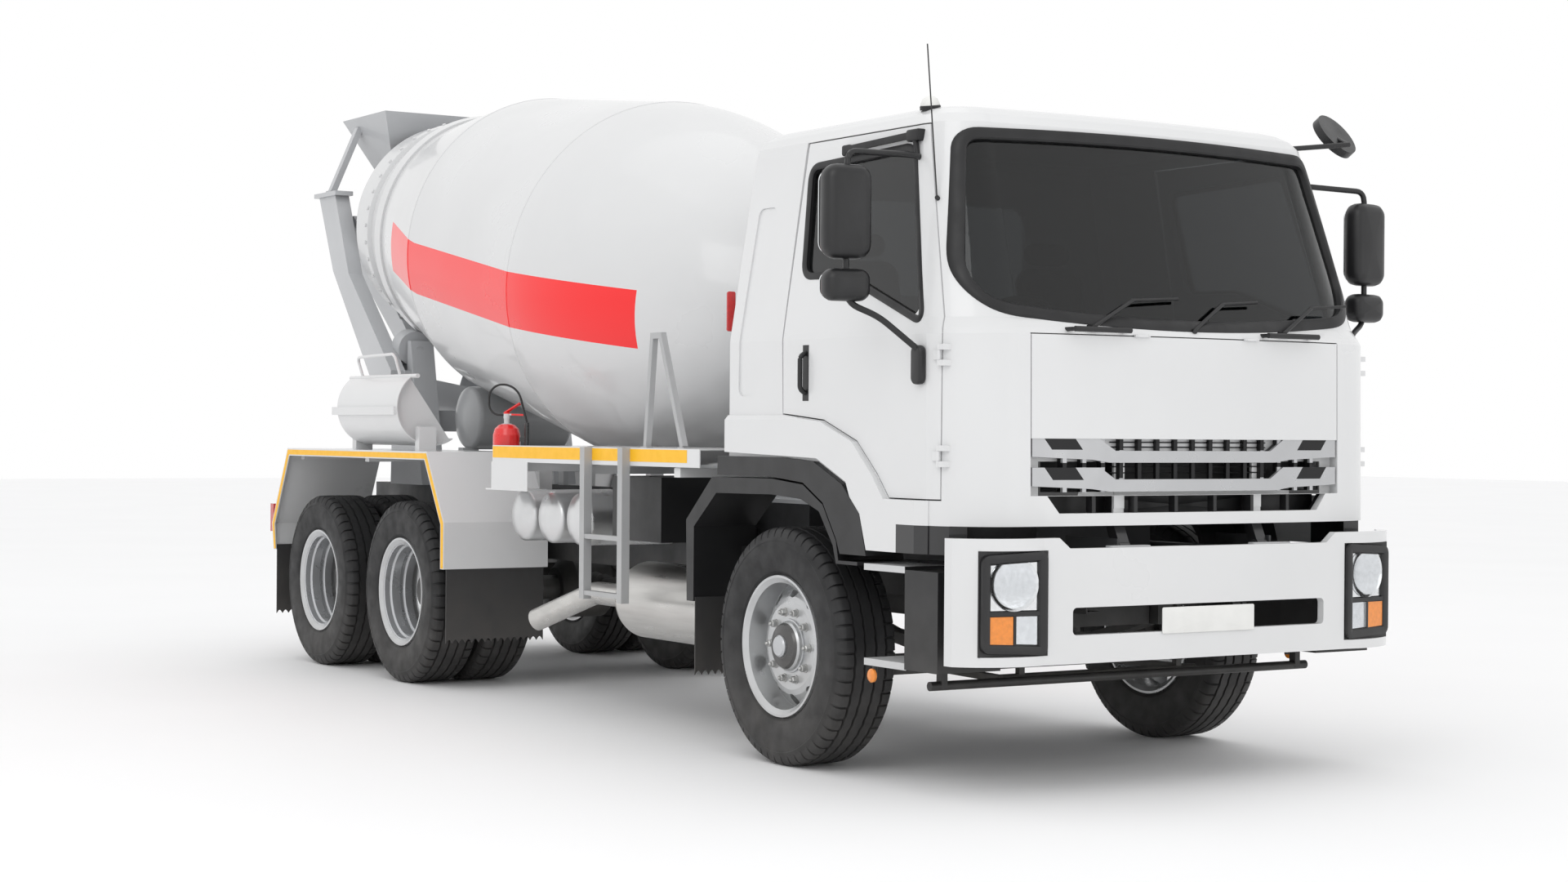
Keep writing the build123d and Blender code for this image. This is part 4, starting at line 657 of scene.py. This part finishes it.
TYRE_WALL = [
    (-0.112, 0.305), (-0.128, 0.322), (-0.138, 0.338), (-0.1425, 0.341), (-0.1465, 0.352), (-0.151, 0.378),
    (-0.1550, 0.405), (-0.156, 0.432), (-0.1555, 0.458), (-0.1535, 0.478), (-0.1555, 0.481), (-0.1545, 0.488),
    (-0.149, 0.495), (-0.146, 0.510), (-0.141, 0.522), (-0.134, 0.532), (-0.120, 0.5405),
]
GROOVES = (-0.082, -0.029, 0.029, 0.082)
TREAD_RADIUS = 0.542
GROOVE_RADIUS = 0.529
SLOT_DEPTH = 0.011
ZIGZAG = 0.0045
BLOCK_STEPS = np.array((0.0, 0.035, 0.15, 0.185, 0.42, 0.68))

FRONT_RING = [(0.076, 0.124), (0.086, 0.122), (0.088, 0.114), (0.088, 0.112), (0.076, 0.112)]
FRONT_BOLT = [(0.096, 0.009), (0.107, 0.009), (0.110, 0.006)]
FRONT_COVER = [(0.120, 0.052), (0.140, 0.050), (0.147, 0.043), (0.149, 0.02)]
REAR_BOLT = [(0.10, 0.010), (0.145, 0.010), (0.148, 0.007)]
REAR_BARREL = [
    (0.125, 0.2885), (0.120, 0.2815), (0.088, 0.2800), (0.078, 0.2700), (0.030, 0.2690), (0.020, 0.2790),
    (0.004, 0.2790), (-0.006, 0.2670), (-0.052, 0.2660), (-0.060, 0.2885),
]
REAR_ROWS = {"middle": MIDDLE_AXLE, "rear": REAR_AXLE}


def tread_tyre(centre, side, blocks):
    """A tyre: a profile of (station, radius) turned about the axle, cut by four grooves round it and by
    slots across its shoulders wherever the angle's place within a block is small."""
    tread = []
    for groove in GROOVES:
        tread += [(groove - 0.0065, TREAD_RADIUS), (groove - 0.0035, GROOVE_RADIUS)]
        tread += [(groove + 0.0035, GROOVE_RADIUS), (groove + 0.0065, TREAD_RADIUS)]
        if groove < GROOVES[-1]:
            tread.append((groove + 0.027, TREAD_RADIUS))
    profile = np.array(TYRE_WALL + tread + [(-s, r) for s, r in reversed(TYRE_WALL)])
    phase = (np.arange(blocks)[:, None] + BLOCK_STEPS[None]).ravel()
    angle = phase * 2 * pi / blocks
    station = np.repeat(profile[None, :, 0], len(angle), axis=0)
    radius = np.repeat(profile[None, :, 1], len(angle), axis=0)
    within = np.tile(BLOCK_STEPS, blocks)
    slot = ((within > 0.02) & (within < 0.16))[:, None]
    shoulder = (np.abs(profile[:, 0]) > 0.0875) & (profile[:, 1] > 0.505)
    radius = radius - np.where(slot & shoulder[None], SLOT_DEPTH, 0.0)
    middle = (np.abs(profile[:, 0]) < 0.09) & (profile[:, 1] > 0.525)
    zigzag = ZIGZAG * np.abs((phase % 1.0) * 2 - 1) - ZIGZAG / 2
    station = station + np.where(middle[None], zigzag[:, None], 0.0)
    rows = np.stack([
        centre[0] + radius * np.cos(angle)[:, None],
        centre[1] + side * station,
        centre[2] + radius * np.sin(angle)[:, None],
    ], axis=-1)
    return grid(rows, wrap_rows=True)


def wheel_nuts(centre, side, station, reach):
    """Ten six-sided nuts with domed ends on flat seats, set round the hub."""
    seat = (centre[0] + reach, centre[1] + side * station, centre[2])
    washer = turned([(0, 0.021), (0.004, 0.020), (0.005, 0.017)], seat, (0, side, 0), 12)
    nut = turned([(0.004, 0.0165), (0.022, 0.0165), (0.026, 0.013)], seat, (0, side, 0), 6)
    cap = turned([(0.024, 0.011), (0.032, 0.010), (0.037, 0.006)], seat, (0, side, 0), 8)
    return circled(join([washer, nut, cap]), 10, centre)


def hub_bolts(profile, centre, side, reach, count):
    """Six-sided bolt heads, set round the hub at a reach from its axis."""
    first = turned(profile, (centre[0] + reach, centre[1], centre[2]), (0, side, 0), 6)
    return circled(first, count, centre)


for name, side in SIDES.items():
    hub = (FRONT_AXLE, side * TYRE_Y, WHEEL_Z)
    body = f"wheel_front_{name}"
    tread = tread_tyre(hub, side, 54)
    piece(f"tread_front_{name}", tread, tyre_rubber, body, (f"tyre_front_{name}",))
    piece(f"nuts_front_{name}", wheel_nuts(hub, side, 0.078, 0.158), zinc, body)
    ring = turned(FRONT_RING, hub, (0, side, 0), 48, True)
    bolts = hub_bolts(FRONT_BOLT, hub, side, 0.098, 8)
    cover = turned(FRONT_COVER, hub, (0, side, 0), 32)
    piece(f"hub_front_{name}", join([ring, bolts, cover]), silver, body)
    for row, x in REAR_ROWS.items():
        body = f"wheels_{row}_{name}"
        outer = tread_tyre((x, side * TYRE_Y, WHEEL_Z), side, 48)
        inner = tread_tyre((x, side * (TYRE_Y - TWIN_PITCH), WHEEL_Z), side, 48)
        piece(f"tread_{row}_{name}", join([outer, inner]), tyre_rubber, body, (f"tyres_{row}_{name}",))
        hub = (x, side * (TYRE_Y - TWIN_PITCH / 2), WHEEL_Z)
        piece(f"nuts_{row}_{name}", wheel_nuts(hub, side, 0.013, 0.184), zinc, body)
        piece(f"hub_{row}_{name}", hub_bolts(REAR_BOLT, hub, side, 0.105, 10), zinc, body)

# Rear rims: a barrel that narrows inwards in rolled steps

for name, side in SIDES.items():
    for row, x in REAR_ROWS.items():
        barrel = turned(REAR_BARREL, (x, side * TYRE_Y, WHEEL_Z), (0, side, 0), 72, True)
        piece(f"barrel_{row}_{name}", barrel, silver, f"wheels_{row}_{name}")

# Cab: seals, mirrors, handles and window rails

screen_edge = np.vstack([
    [(-1.09, 2.24)],
    [(-0.985, 2.79)],
    arc((-0.985, 2.79), (0, 2.805), (0.985, 2.79))[1:],
    [(1.09, 2.24)],
    arc((1.09, 2.24), (1.06, 2.11), (0.90, 2.03), 8)[1:],
    arc((0.90, 2.03), (0, 1.985), (-0.90, 2.03))[1:],
    arc((-0.90, 2.03), (-1.06, 2.11), (-1.09, 2.24), 8)[1:-1],
])
wide_seal = [
    (-0.026, -0.021), (-0.026, 0.000), (-0.020, 0.007), (-0.004, 0.011), (0.014, 0.009), (0.024, 0.003),
    (0.026, -0.004), (0.026, -0.021),
]
screen_seal = band(evened(screen_edge, 260, 3), wide_seal, on_front)
piece("windscreen_seal", screen_seal, seal_rubber, "cab")

window_edge = np.array([(0.09, 2.217), (0.43, 2.210), (1.085, 1.975), (0.845, 2.75), (0.02, 2.725)])
window_edge = evened(window_edge + (FRONT_AXLE, 0), 200, 4)
narrow_seal = [
    (-0.018, -0.021), (-0.018, 0.000), (-0.012, 0.005), (0.004, 0.007), (0.014, 0.003), (0.016, -0.003),
    (0.016, -0.021),
]

MIRROR_X = at(0.945)
MIRROR_TURN = 0.12
LARGE_MIRROR = (1.493, 2.435)
SMALL_MIRROR = (1.492, 2.130)
ARM_RADIUS = 0.0135
LOWER_ARM = [(1.095, 1.228, 1.865), (1.0, 1.36, 2.00), (0.945, 1.48, 2.055), (0.945, 1.488, 2.10)]
MIDDLE_ARM = [(0.945, 1.49, 2.18), (0.945, 1.49, 2.25)]
UPPER_ARM = [(0.945, 1.488, 2.62), (0.945, 1.482, 2.69), (0.90, 1.10, 2.70), (0.885, 1.068, 2.692)]
DOOR_GRIP = [(0.188, 1.207, 1.69), (0.188, 1.236, 1.705), (0.188, 1.236, 1.855), (0.188, 1.207, 1.87)]
RAIL_FOOT = (0.885, 2.70)


def mirror_block(side, spot, behind, size, corner, edge):
    """A rounded block at a mirror's (distance out, height), set back a little and turned to the driver."""
    centre = (MIRROR_X - behind, side * spot[0], spot[1])
    return block(centre, size, corner, edge, 0, side * MIRROR_TURN)


for name, side in SIDES.items():
    door = f"door_{name}"
    flank = on_side(side)
    piece(f"window_seal_{name}", band(window_edge, narrow_seal, flank), seal_rubber, door)

    holders = [
        mirror_block(side, LARGE_MIRROR, 0.0, (0.115, 0.215, 0.395), 0.06, 0.045),
        mirror_block(side, SMALL_MIRROR, 0.0, (0.110, 0.205, 0.135), 0.045, 0.04),
        block((at(1.092), side * 1.222, 1.80), (0.075, 0.035, 0.165), 0.03, 0.012, 1),
        pipe(flanked(LOWER_ARM, side), ARM_RADIUS, 0.05),
        pipe(flanked(MIDDLE_ARM, side), ARM_RADIUS),
        pipe(flanked(UPPER_ARM, side), ARM_RADIUS, 0.045),
    ]
    piece(f"mirror_housings_{name}", join(holders), dark_plastic, door, (f"mirrors_{name}",))
    large_glass = mirror_block(side, LARGE_MIRROR, 0.058, (0.006, 0.185, 0.355), 0.05, 0.002)
    small_glass = mirror_block(side, SMALL_MIRROR, 0.056, (0.006, 0.175, 0.105), 0.035, 0.002)
    piece(f"mirror_glass_{name}", join([large_glass, small_glass]), mirror_glass, door)

    recess = patch((at(0.165), 1.655), (at(0.212), 1.905), flank, 0.002, 0.006)
    grip = pipe(flanked(DOOR_GRIP, side), 0.011, 0.02)
    piece(f"door_handle_{name}", join([recess, grip]), dark_plastic, door)

    spots, away = flank(np.linspace(at(0.33), at(0.86), 12), np.linspace(2.770, 2.788, 12))
    rail = carried(spots + 0.026 * away, flat_bar(0.008, 0.014, 0.011))
    rear_shoe = block(spots[0] + 0.013 * away[0], (0.05, 0.034, 0.05), 0.012, 0.006)
    front_shoe = block(spots[-1] + 0.013 * away[-1], (0.085, 0.05, 0.052), 0.012, 0.006)
    foot_x, foot_z = at(RAIL_FOOT[0]), RAIL_FOOT[1]
    foot = (foot_x, side * (side_y(foot_x, foot_z) + 0.008), foot_z)
    drop = pipe([spots[-1] + 0.02 * away[-1], foot], 0.012, 0.01)
    piece(f"window_rail_{name}", join([rail, drop, rear_shoe, front_shoe]), seal_rubber, door)

# Headlamps: a flat face from an inner to an outer edge, drawn back towards the side

LAMP_INNER = (1.488, 0.843)
LAMP_OUTER = (1.440, 1.150)
LAMP_MARGIN = 0.03
BOWL_Z = 0.898
LAMP_RIM = [
    (-0.034, -0.012), (-0.034, 0.008), (-0.026, 0.018), (-0.006, 0.022), (0.008, 0.018), (0.011, 0.006),
    (0.011, -0.012),
]
BOWL = [(-0.002, 0.112), (0.010, 0.112), (0.008, 0.104), (0.002, 0.090), (-0.0015, 0.060), (-0.003, 0.02)]
LENS = [(0.006, 0.114), (0.012, 0.112), (0.017, 0.085), (0.020, 0.045), (0.021, 0.012)]


def on_lamp(inner, along, away):
    """Places on a lamp's flat face, for outlines given as (distance from its inner edge, height)."""
    def place(reach, z):
        points = np.concatenate([inner + reach[..., None] * along, z[..., None]], axis=-1)
        normal = np.zeros_like(points)
        normal[..., 0], normal[..., 1] = away
        return points, normal
    return place


for name, side in SIDES.items():
    inner, outer = (np.array((at(ahead), side * out)) for ahead, out in (LAMP_INNER, LAMP_OUTER))
    width = np.linalg.norm(outer - inner)
    along = (outer - inner) / width
    away = np.array((abs(along[1]), -along[0] * np.sign(along[1])))
    place = on_lamp(inner, along, away)
    centre = (*(inner + along * (width / 2)), BOWL_Z)
    facing = (*away, 0)
    near, far = LAMP_MARGIN, width - LAMP_MARGIN

    edge = np.array([(0.012, 0.612), (width - 0.012, 0.625), (width - 0.012, 1.008), (0.012, 1.024)])
    rim = band(evened(edge, 120, 2), LAMP_RIM, place)
    bar = patch((near, 0.768), (far, 0.786), place, 0.016, 0.014)
    post = patch((0.148, 0.64), (0.160, 0.77), place, 0.014, 0.012)
    piece(f"headlamp_frame_{name}", join([rim, bar, post]), dark_plastic, "chassis")
    surround = patch((near, 0.79), (far, 1.0), place, 0.003, 0.003)
    bowl = turned(BOWL, centre, facing)
    piece(f"headlamp_bowl_{name}", join([bowl, surround]), chrome, "chassis")
    inner_lens = patch((near, 0.645), (0.146, 0.765), place, 0.011, 0.004)
    lens = turned(LENS, centre, facing)
    piece(f"headlamp_lens_{name}", join([lens, inner_lens]), clear_lens, "chassis")
    backing = patch((near, 0.645), (0.146, 0.765), place, 0.0045, 0.003)
    piece(f"lower_lamp_{name}", backing, chrome, "chassis")
    indicator = patch((0.162, 0.645), (far, 0.765), place, 0.012, 0.010)
    piece(f"indicator_{name}", indicator, amber, "chassis")

# Seats: stuffed cushions and backs on plain bases

SEAT_Y = 0.56
BACK_LEAN = -0.21
SWELL_STEPS = 20
SWELL_REACH = 0.018
NET_STEP = 0.011


def settled(made):
    """Leaves on a piece the mesh that its modifiers make."""
    shown = made.evaluated_get(bpy.context.evaluated_depsgraph_get())
    mesh = bpy.data.meshes.new_from_object(shown)
    made.modifiers.clear()
    made.data = mesh


def stuffed(made):
    """Swells a closed form as a filled cover: an even net, twenty steps of cloth under inner pressure with
    no weight, each point held within a reach of where it began, then one level of smoothing."""
    net = made.modifiers.new("net", "REMESH")
    net.mode = "VOXEL"
    net.voxel_size = NET_STEP
    settled(made)
    start = np.empty(len(made.data.vertices) * 3, np.float32)
    made.data.vertices.foreach_get("co", start)
    cover = made.modifiers.new("cover", "CLOTH")
    cover.settings.use_pressure = True
    cover.settings.uniform_pressure_force = 4.0
    cover.settings.effector_weights.gravity = 0.0
    cover.point_cache.frame_start = 1
    cover.point_cache.frame_end = SWELL_STEPS
    for step in range(1, SWELL_STEPS + 1):
        bpy.context.scene.frame_set(step)
    shown = made.evaluated_get(bpy.context.evaluated_depsgraph_get())
    end = np.empty_like(start)
    shown.data.vertices.foreach_get("co", end)
    moved = (end - start).reshape(-1, 3)
    moved -= moved.mean(axis=0)
    length = np.linalg.norm(moved, axis=1, keepdims=True)
    moved *= np.minimum(1.0, SWELL_REACH / np.maximum(length, 1e-9))
    made.modifiers.clear()
    bpy.context.scene.frame_set(1)
    made.data.vertices.foreach_set("co", (start.reshape(-1, 3) + moved).ravel())
    smooth = made.modifiers.new("smooth", "SUBSURF")
    smooth.levels = smooth.render_levels = 1
    made.data.shade_smooth()


for name, side in SIDES.items():
    y = side * SEAT_Y
    base = block((at(0.0), y, 1.586), (0.50, 0.42, 0.225), 0.04, 0.01, 2)
    piece(f"seat_base_{name}", base, dark_plastic, "cab", ("seats",) if side < 0 else ())
    covers = {
        "cushion": block((at(0.055), y, 1.775), (0.50, 0.44, 0.10), 0.07, 0.035, 2),
        "back": block((at(-0.285), y, 2.09), (0.095, 0.42, 0.54), 0.09, 0.035, 0, 0.0, BACK_LEAN),
        "rest": block((at(-0.345), y, 2.415), (0.075, 0.26, 0.11), 0.045, 0.025, 0, 0.0, BACK_LEAN),
    }
    for cover_name, shape in covers.items():
        stuffed(piece(f"seat_{cover_name}_{name}", shape, cloth, "cab"))

# Grille: a dark backing and thin slats between the wings

slats = [patch((-0.83, 1.285), (0.83, 1.49), on_front, -0.160, 0.004, (24, 4))]
y = np.linspace(-0.44, 0.44, 24)
for z in (1.352, 1.378, 1.462, 1.482):
    path = np.stack([front_x(y, 1.4) - 0.052, y, np.full_like(y, z)], -1)
    slats.append(carried(path, flat_bar(0.012, 0.0025, 0.014)))
piece("grille_backing", join(slats), seal_rubber, "front_lid")

slot_backing = patch((-0.83, 1.150), (0.83, 1.275), on_front, -0.115, 0.004, (24, 4))
piece("slot_backing", slot_backing, seal_rubber, "cab")

# Small lamps and reflectors

SIDE_LAMP = (1.031, 1.139)
SIDE_LAMP_TURN = 0.13
ROUND_LAMP = [(0, 0.030), (0.010, 0.030), (0.016, 0.024), (0.019, 0.012)]
ROOF_LAMP_FOOT = (at(0.80), -0.965, 2.930)
ROOF_LAMP_UP = (0.1, -0.15, 1)

reflector = block((at(-0.566), -1.150, 2.085), (0.012, 0.045, 0.19), 0.01, 0.003)
piece("rear_reflector", reflector, red_lens, "cab")

for name, side in SIDES.items():
    spot, away = on_side(side)(np.array(at(SIDE_LAMP[0])), np.array(SIDE_LAMP[1]))
    turn = -side * SIDE_LAMP_TURN
    base = block(spot + 0.006 * away, (0.135, 0.022, 0.078), 0.018, 0.006, 1, turn)
    piece(f"side_lamp_base_{name}", base, white_paint, "cab")
    front = spot + 0.0165 * away + (-0.015, 0, 0)
    piece(f"side_lamp_{name}", block(front, (0.062, 0.012, 0.042), 0.012, 0.005, 1, turn), amber, "cab")
    round_lamp = turned(ROUND_LAMP, (at(0.746), side * 1.205, 0.472), (0, side, 0), 24)
    stem = block((at(0.746), side * 1.195, 0.492), (0.02, 0.02, 0.06), 0.006, 0.003, 2)
    piece(f"round_lamp_{name}", round_lamp, amber, "chassis")
    piece(f"round_lamp_stem_{name}", stem, dark_plastic, "chassis")

dome = [(0, 0.042), (0.014, 0.041), (0.030, 0.034), (0.040, 0.020), (0.044, 0.008)]
foot = [(-0.016, 0.046), (0.0, 0.046), (0.004, 0.042)]
piece("roof_lamp", turned(dome, ROOF_LAMP_FOOT, ROOF_LAMP_UP, 24), plate_white, "cab")
piece("roof_lamp_foot", turned(foot, ROOF_LAMP_FOOT, ROOF_LAMP_UP, 24), seal_rubber, "cab")

# Marker tape on the deck and the rear mudguards, as outlines of (ahead of the front axle, height)

TAPE_Y = 1.2402
TAPE_THICKNESS = 0.0012
GUARD_EDGE = [
    (-6.380, 0.708), (-6.413, 0.882), (-6.135, 1.384), (-3.893, 1.384), (-3.640, 0.977), (-3.640, 0.712),
]
DECK_EDGE = [(-2.99, 1.424), (-0.82, 1.424)]


def ribbon(outline, y, inner, outer):
    """A flat strip along an open outline of (x, z). Both its edges are the outline moved inwards along its
    mitres, m = (n1 + n2) / (1 + n1.n2), and it stands off the face at y by its thickness."""
    outline = np.array([(at(x), z) for x, z in outline])
    ahead = unit(np.diff(outline, axis=0))
    normal = np.stack([ahead[:, 1], -ahead[:, 0]], -1)
    bends = (normal[:-1] + normal[1:]) / (1 + np.sum(normal[:-1] * normal[1:], axis=1, keepdims=True))
    mitre = np.vstack([normal[:1], bends, normal[-1:]])
    corners = ((inner, 0), (outer, 0), (outer, TAPE_THICKNESS), (inner, TAPE_THICKNESS))
    rows = np.zeros((len(outline), 4, 3))
    for column, (reach, stand) in enumerate(corners):
        rows[:, column, (0, 2)] = outline + mitre * reach
        rows[:, column, 1] = y + np.sign(y) * stand
    return grid(rows)


for name, side in SIDES.items():
    guard = ribbon(GUARD_EDGE, side * TAPE_Y, 0.010, 0.042)
    deck = ribbon(DECK_EDGE, side * TAPE_Y, 0.0, 0.062)
    piece(f"marker_tape_{name}", join([guard, deck]), tape, "chassis")

# Mudflaps with toothed lower edges

FLAP_THICKNESS = 0.008
TOOTH_HEIGHT = 0.022


def flap(low, high, teeth):
    """A hanging sheet whose lower edge is a row of rounded teeth: z = low + h |sin(pi n u)|."""
    u = np.linspace(0, 1, teeth * 8 + 1)
    y = low[1] + (high[1] - low[1]) * u
    foot = low[2] + TOOTH_HEIGHT * np.abs(np.sin(pi * teeth * u))
    rows = np.zeros((len(u), 4, 3))
    rows[:, :, 1] = y[:, None]
    rows[:, (0, 1), 0] = low[0]
    rows[:, (2, 3), 0] = high[0]
    rows[:, (0, 3), 2] = high[2]
    rows[:, (1, 2), 2] = foot[:, None]
    return grid(rows)


flaps = []
for side in SIDES.values():
    for x, low_y, high_y, low_z, high_z, teeth in (
        (-0.770, 0.88, 1.22, 0.345, 0.72, 9),
        (-6.374, 0.60, 1.22, 0.280, 0.74, 15),
        (-3.654, 0.60, 1.22, 0.280, 0.74, 15),
    ):
        near, far = sorted((side * low_y, side * high_y))
        flaps.append(flap((at(x), near, low_z), (at(x + FLAP_THICKNESS), far, high_z), teeth))
piece("toothed_mudflaps", join(flaps), flap_rubber, "chassis", ("mudflaps",))

# Drum: weld beads at its seams and bolts round its flange, as profiles of (station, radius)

DRUM_PROFILE = np.array([
    (-1.600, 0.352), (-1.090, 0.800), (-0.540, 0.995), (0, 1.055), (1.607, 0.973), (2.475, 0.785),
])
SEAMS = (0.0, 1.607)
FLANGE_STATION = 2.8775
FLANGE_RADIUS = 0.734

beads = []
for seam in SEAMS:
    r = np.interp(seam, DRUM_PROFILE[:, 0], DRUM_PROFILE[:, 1])
    bead = [(-0.007, -0.004), (-0.004, 0.0025), (0.004, 0.0025), (0.007, -0.004)]
    bead = [(seam + along, r + rise) for along, rise in bead]
    beads.append(turned(bead, DRUM_ORIGIN, DRUM_AXIS, 120, True))
head_spot = DRUM_ORIGIN + FLANGE_STATION * DRUM_AXIS + FLANGE_RADIUS * DRUM_UP
bolt = turned([(0, 0.013), (0.010, 0.013), (0.013, 0.009)], head_spot, DRUM_UP, 6)
bolts = circled(bolt, 40, DRUM_ORIGIN, DRUM_AXIS)
piece("drum_beads_and_bolts", join(beads + [bolts]), drum_paint, "drum")

# Bumper details

for name, side in SIDES.items():
    pad = block((at(1.474), side * 0.40, 1.0435), (0.046, 0.22, 0.008), 0.012, 0.003, 2)
    piece(f"step_pad_{name}", pad, grey_paint, "chassis")
plate = block((at(1.505), 0.025, 0.725), (0.006, 0.52, 0.112), 0.008, 0.002)
piece("front_plate", plate, plate_white, "chassis")

# Camera, floor and light

EYE_PLACE = (at(9.6954), -7.2192, 1.5186)
FLOOR_REACH = 60
LIGHTS = (
    ("key light", (9.0, -9.0, 8.5), (0, 0, 1.4), 7.0, 230),
    ("front fill", (14.0, 3.0, 4.0), (2, 0, 1.4), 6.0, 50),
    ("top light", (0.0, 0.0, 11.0), (0, 0, 0), 9.0, 80),
)

yaw, pitch, roll = 2.5665, radians(-0.147), radians(0.4245)
forward = np.array((cos(yaw) * cos(pitch), sin(yaw) * cos(pitch), sin(pitch)))
right = np.array((sin(yaw), -cos(yaw), 0.0))
up = np.cross(right, forward)
right, up = right * cos(roll) + up * sin(roll), -right * sin(roll) + up * cos(roll)
eye = bpy.data.cameras.new("camera")
eye.lens = 57.63
eye.sensor_width = 36
eye.shift_x = -0.0313
eye.shift_y = -0.0019
eye.clip_end = 200
camera = bpy.data.objects.new("camera", eye)
camera.matrix_world = Matrix([
    (right[k], up[k], -forward[k], EYE_PLACE[k]) for k in range(3)
] + [(0, 0, 0, 1)])
bpy.context.collection.objects.link(camera)
bpy.context.scene.camera = camera

corners = [(x * FLOOR_REACH, y * FLOOR_REACH, 0) for x, y in ((-1, -1), (1, -1), (1, 1), (-1, 1))]
floor_mesh = bpy.data.meshes.new("floor")
floor_mesh.from_pydata(corners, [], [(0, 1, 2, 3)])
floor = bpy.data.objects.new("floor", floor_mesh)
bpy.context.collection.objects.link(floor)
floor_mesh.materials.append(Finish("pale floor", (0.93, 0.93, 0.935), 0.7).vary(0.01, 0.5).material)

sky = bpy.data.worlds.new("studio")
sky.use_nodes = True
sky.node_tree.nodes["Background"].inputs["Color"].default_value = (1, 1, 1, 1)
sky.node_tree.nodes["Background"].inputs["Strength"].default_value = 1.0
bpy.context.scene.world = sky
bpy.context.scene.view_settings.view_transform = "Standard"

for name, spot, aim, size, power in LIGHTS:
    glow = bpy.data.lights.new(name, "AREA")
    glow.size = size
    glow.energy = power
    lamp = bpy.data.objects.new(name, glow)
    lamp.location = spot
    lamp.rotation_euler = (Vector(aim) - Vector(spot)).to_track_quat("-Z", "Y").to_euler()
    bpy.context.collection.objects.link(lamp)
